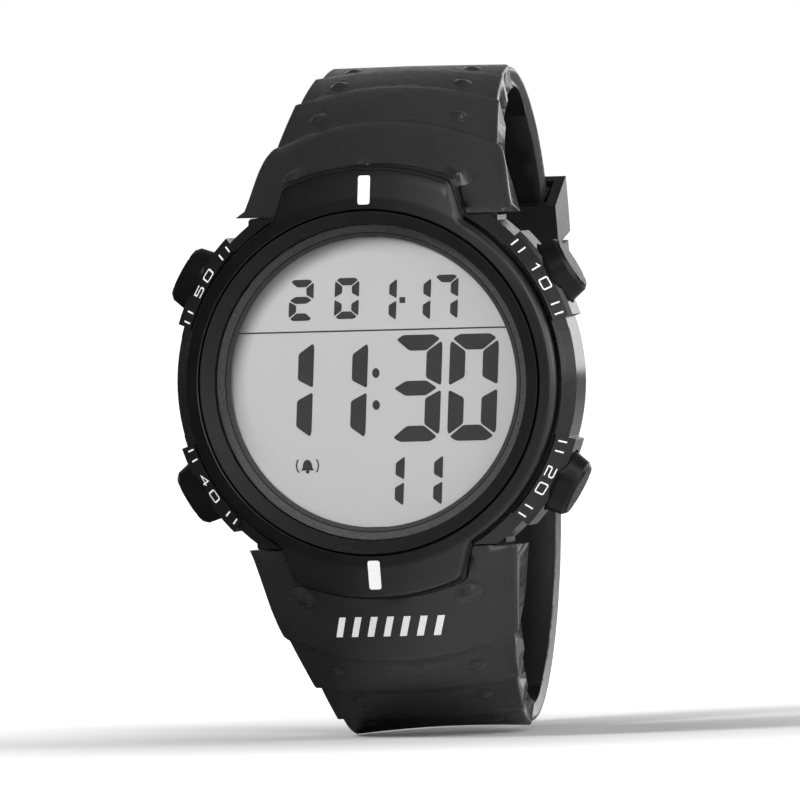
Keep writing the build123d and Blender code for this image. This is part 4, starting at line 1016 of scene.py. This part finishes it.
def photo_camera():
    """The photograph's view. It is taken from far away, with almost no perspective."""
    level = math.cos(ELEVATION)
    back = Vector((math.sin(AZIMUTH) * level, -math.cos(AZIMUTH) * level, math.sin(ELEVATION)))
    right = Vector((math.cos(AZIMUTH), math.sin(AZIMUTH), 0.0))
    up = back.cross(right)
    turned_right = right * math.cos(ROLL) - up * math.sin(ROLL)
    turned_up = right * math.sin(ROLL) + up * math.cos(ROLL)
    aim = point(0, DIAL_HEIGHT, 0) + turned_right * AIM_RIGHT - turned_up * AIM_DOWN
    data = bpy.data.cameras.new("photo_camera")
    data.sensor_width = SENSOR
    data.lens = DISTANCE * SENSOR / (PHOTO_SIDE / PIXELS_PER_MM * MM)
    data.clip_start, data.clip_end = 0.1, 40.0
    data.dof.use_dof = False
    obj = bpy.data.objects.new("photo_camera", data)
    bpy.context.scene.collection.objects.link(obj)
    turn = Matrix((turned_right, turned_up, back)).transposed().to_4x4()
    turn.translation = aim + back * DISTANCE
    obj.matrix_world = turn
    bpy.context.scene.camera = obj


photo_camera()


# Floor, world and lights
FLOOR_HALF = 6.0
FLOOR_GAP = 0.1 * MM
FLOOR_NEAR, FLOOR_FAR = 0.03, 0.18
FLOOR_GLOW = (0.05, 1.0)
FLOOR_TONES = (242, 244)
# The floor's colour seen only in reflections, darker at the left and lighter at the right: a painted
# reflection on the watch.
MIRRORED_LEFT, MIRRORED_RIGHT = 60, 225
MIRRORED_RUN = (-0.015, 0.008)


def floor():
    """Pale floor that turns to white away from the watch. Its colour in reflections on the watch is
    darker at the left: a painted reflection.
    """
    s = Shader("floor", grey(243), 0.8, specular=0.2)
    speck = s.noise(30.0, 2.0)
    pale = s.mix(s.spread(speck, 0.0, 1.0), grey(FLOOR_TONES[0]), grey(FLOOR_TONES[1]))
    path = s.node("ShaderNodeLightPath")
    across = s.spread(s.toward((1.0, 0.0, 0.0)), 0.0, 1.0, *MIRRORED_RUN)
    mirrored = s.mix(across, grey(MIRRORED_LEFT), grey(MIRRORED_RIGHT))
    s.color(s.mix(path.outputs["Is Glossy Ray"], pale, mirrored))
    away = s.node("ShaderNodeVectorMath", operation="LENGTH")
    s.link(s.coords.outputs["Object"], away.inputs[0])
    glow = s.spread(away.outputs["Value"], *FLOOR_GLOW, FLOOR_NEAR, FLOOR_FAR)
    s.bsdf.inputs["Emission Color"].default_value = WHITE
    s.link(s.times(glow, path.outputs["Is Camera Ray"]), s.bsdf.inputs["Emission Strength"])
    low = min(vert.co.z for vert in STRAPS["strap_lower"].data.vertices) - FLOOR_GAP
    corners = box_outline((0.0, 0.0), 2 * FLOOR_HALF, 2 * FLOOR_HALF)
    mesh = bpy.data.meshes.new("floor")
    mesh.from_pydata([(x, y, 0.0) for x, y in corners], [], [(0, 1, 2, 3)])
    obj = bpy.data.objects.new("floor", mesh)
    obj.location = ((cad_low.x + cad_high.x) / 2, (cad_low.y + cad_high.y) / 2, low)
    bpy.context.scene.collection.objects.link(obj)
    mesh.materials.append(s.mat)


floor()


BRIGHT_SIDE = (0.62, 0.75, 0.2)
WORLD_STOPS = ((0.40, 0.02), (0.62, 0.35), (0.80, 1.6))
WORLD_TOP = (0.08, 0.50, 0.10)


def studio_world():
    """White for the camera. As a light it is bright behind at the right, and dim elsewhere and above."""
    world = bpy.data.worlds.new("studio")
    bpy.context.scene.world = world
    world.use_nodes = True
    tree = world.node_tree
    tree.nodes.clear()
    new, link = tree.nodes.new, tree.links.new
    out = new("ShaderNodeOutputWorld")
    coords = new("ShaderNodeTexCoord")
    toward = new("ShaderNodeVectorMath")
    toward.operation = "DOT_PRODUCT"
    toward.inputs[1].default_value = Vector(BRIGHT_SIDE).normalized()
    link(coords.outputs["Generated"], toward.inputs[0])
    half = new("ShaderNodeMath")
    half.operation = "MULTIPLY_ADD"
    half.inputs[1].default_value = 0.5
    half.inputs[2].default_value = 0.5
    link(toward.outputs["Value"], half.inputs[0])
    ramp = new("ShaderNodeValToRGB")
    ramp.color_ramp.interpolation = "EASE"
    ramp.color_ramp.elements.new(WORLD_STOPS[1][0])
    for stop, (place, level) in zip(ramp.color_ramp.elements, WORLD_STOPS):
        stop.position = place
        stop.color = (level, level, level, 1.0)
    link(half.outputs[0], ramp.inputs[0])
    split = new("ShaderNodeSeparateXYZ")
    link(coords.outputs["Generated"], split.inputs[0])
    dim = new("ShaderNodeMapRange")
    dim.inputs["From Min"].default_value = WORLD_TOP[0]
    dim.inputs["From Max"].default_value = WORLD_TOP[1]
    dim.inputs["To Min"].default_value = 1.0
    dim.inputs["To Max"].default_value = WORLD_TOP[2]
    link(split.outputs["Z"], dim.inputs["Value"])
    light = new("ShaderNodeBackground")
    link(ramp.outputs[0], light.inputs["Color"])
    link(dim.outputs["Result"], light.inputs["Strength"])
    white = new("ShaderNodeBackground")
    white.inputs["Color"].default_value = WHITE
    path = new("ShaderNodeLightPath")
    mix = new("ShaderNodeMixShader")
    link(path.outputs["Is Camera Ray"], mix.inputs[0])
    link(light.outputs[0], mix.inputs[1])
    link(white.outputs[0], mix.inputs[2])
    link(mix.outputs[0], out.inputs["Surface"])


studio_world()


def soft_light(name, place, size, power, mirrored=True):
    """A rectangular light that points at the watch."""
    data = bpy.data.lights.new(name, "AREA")
    data.shape = "RECTANGLE"
    data.size, data.size_y = size
    data.energy = power
    obj = bpy.data.objects.new(name, data)
    bpy.context.scene.collection.objects.link(obj)
    obj.location = place
    obj.visible_glossy = mirrored
    obj.rotation_mode = "QUATERNION"
    obj.rotation_quaternion = (-Vector(place)).to_track_quat("-Z", "Y")


soft_light("key", (-0.60, -0.85, 0.75), (0.30, 0.30), 11.0, mirrored=False)
soft_light("fill_right", (0.95, -0.45, 0.35), (0.5, 0.9), 6.0)
soft_light("top_right", (0.30, -0.85, 0.60), (0.30, 0.30), 2.0)

bpy.context.scene.view_settings.view_transform = "Standard"
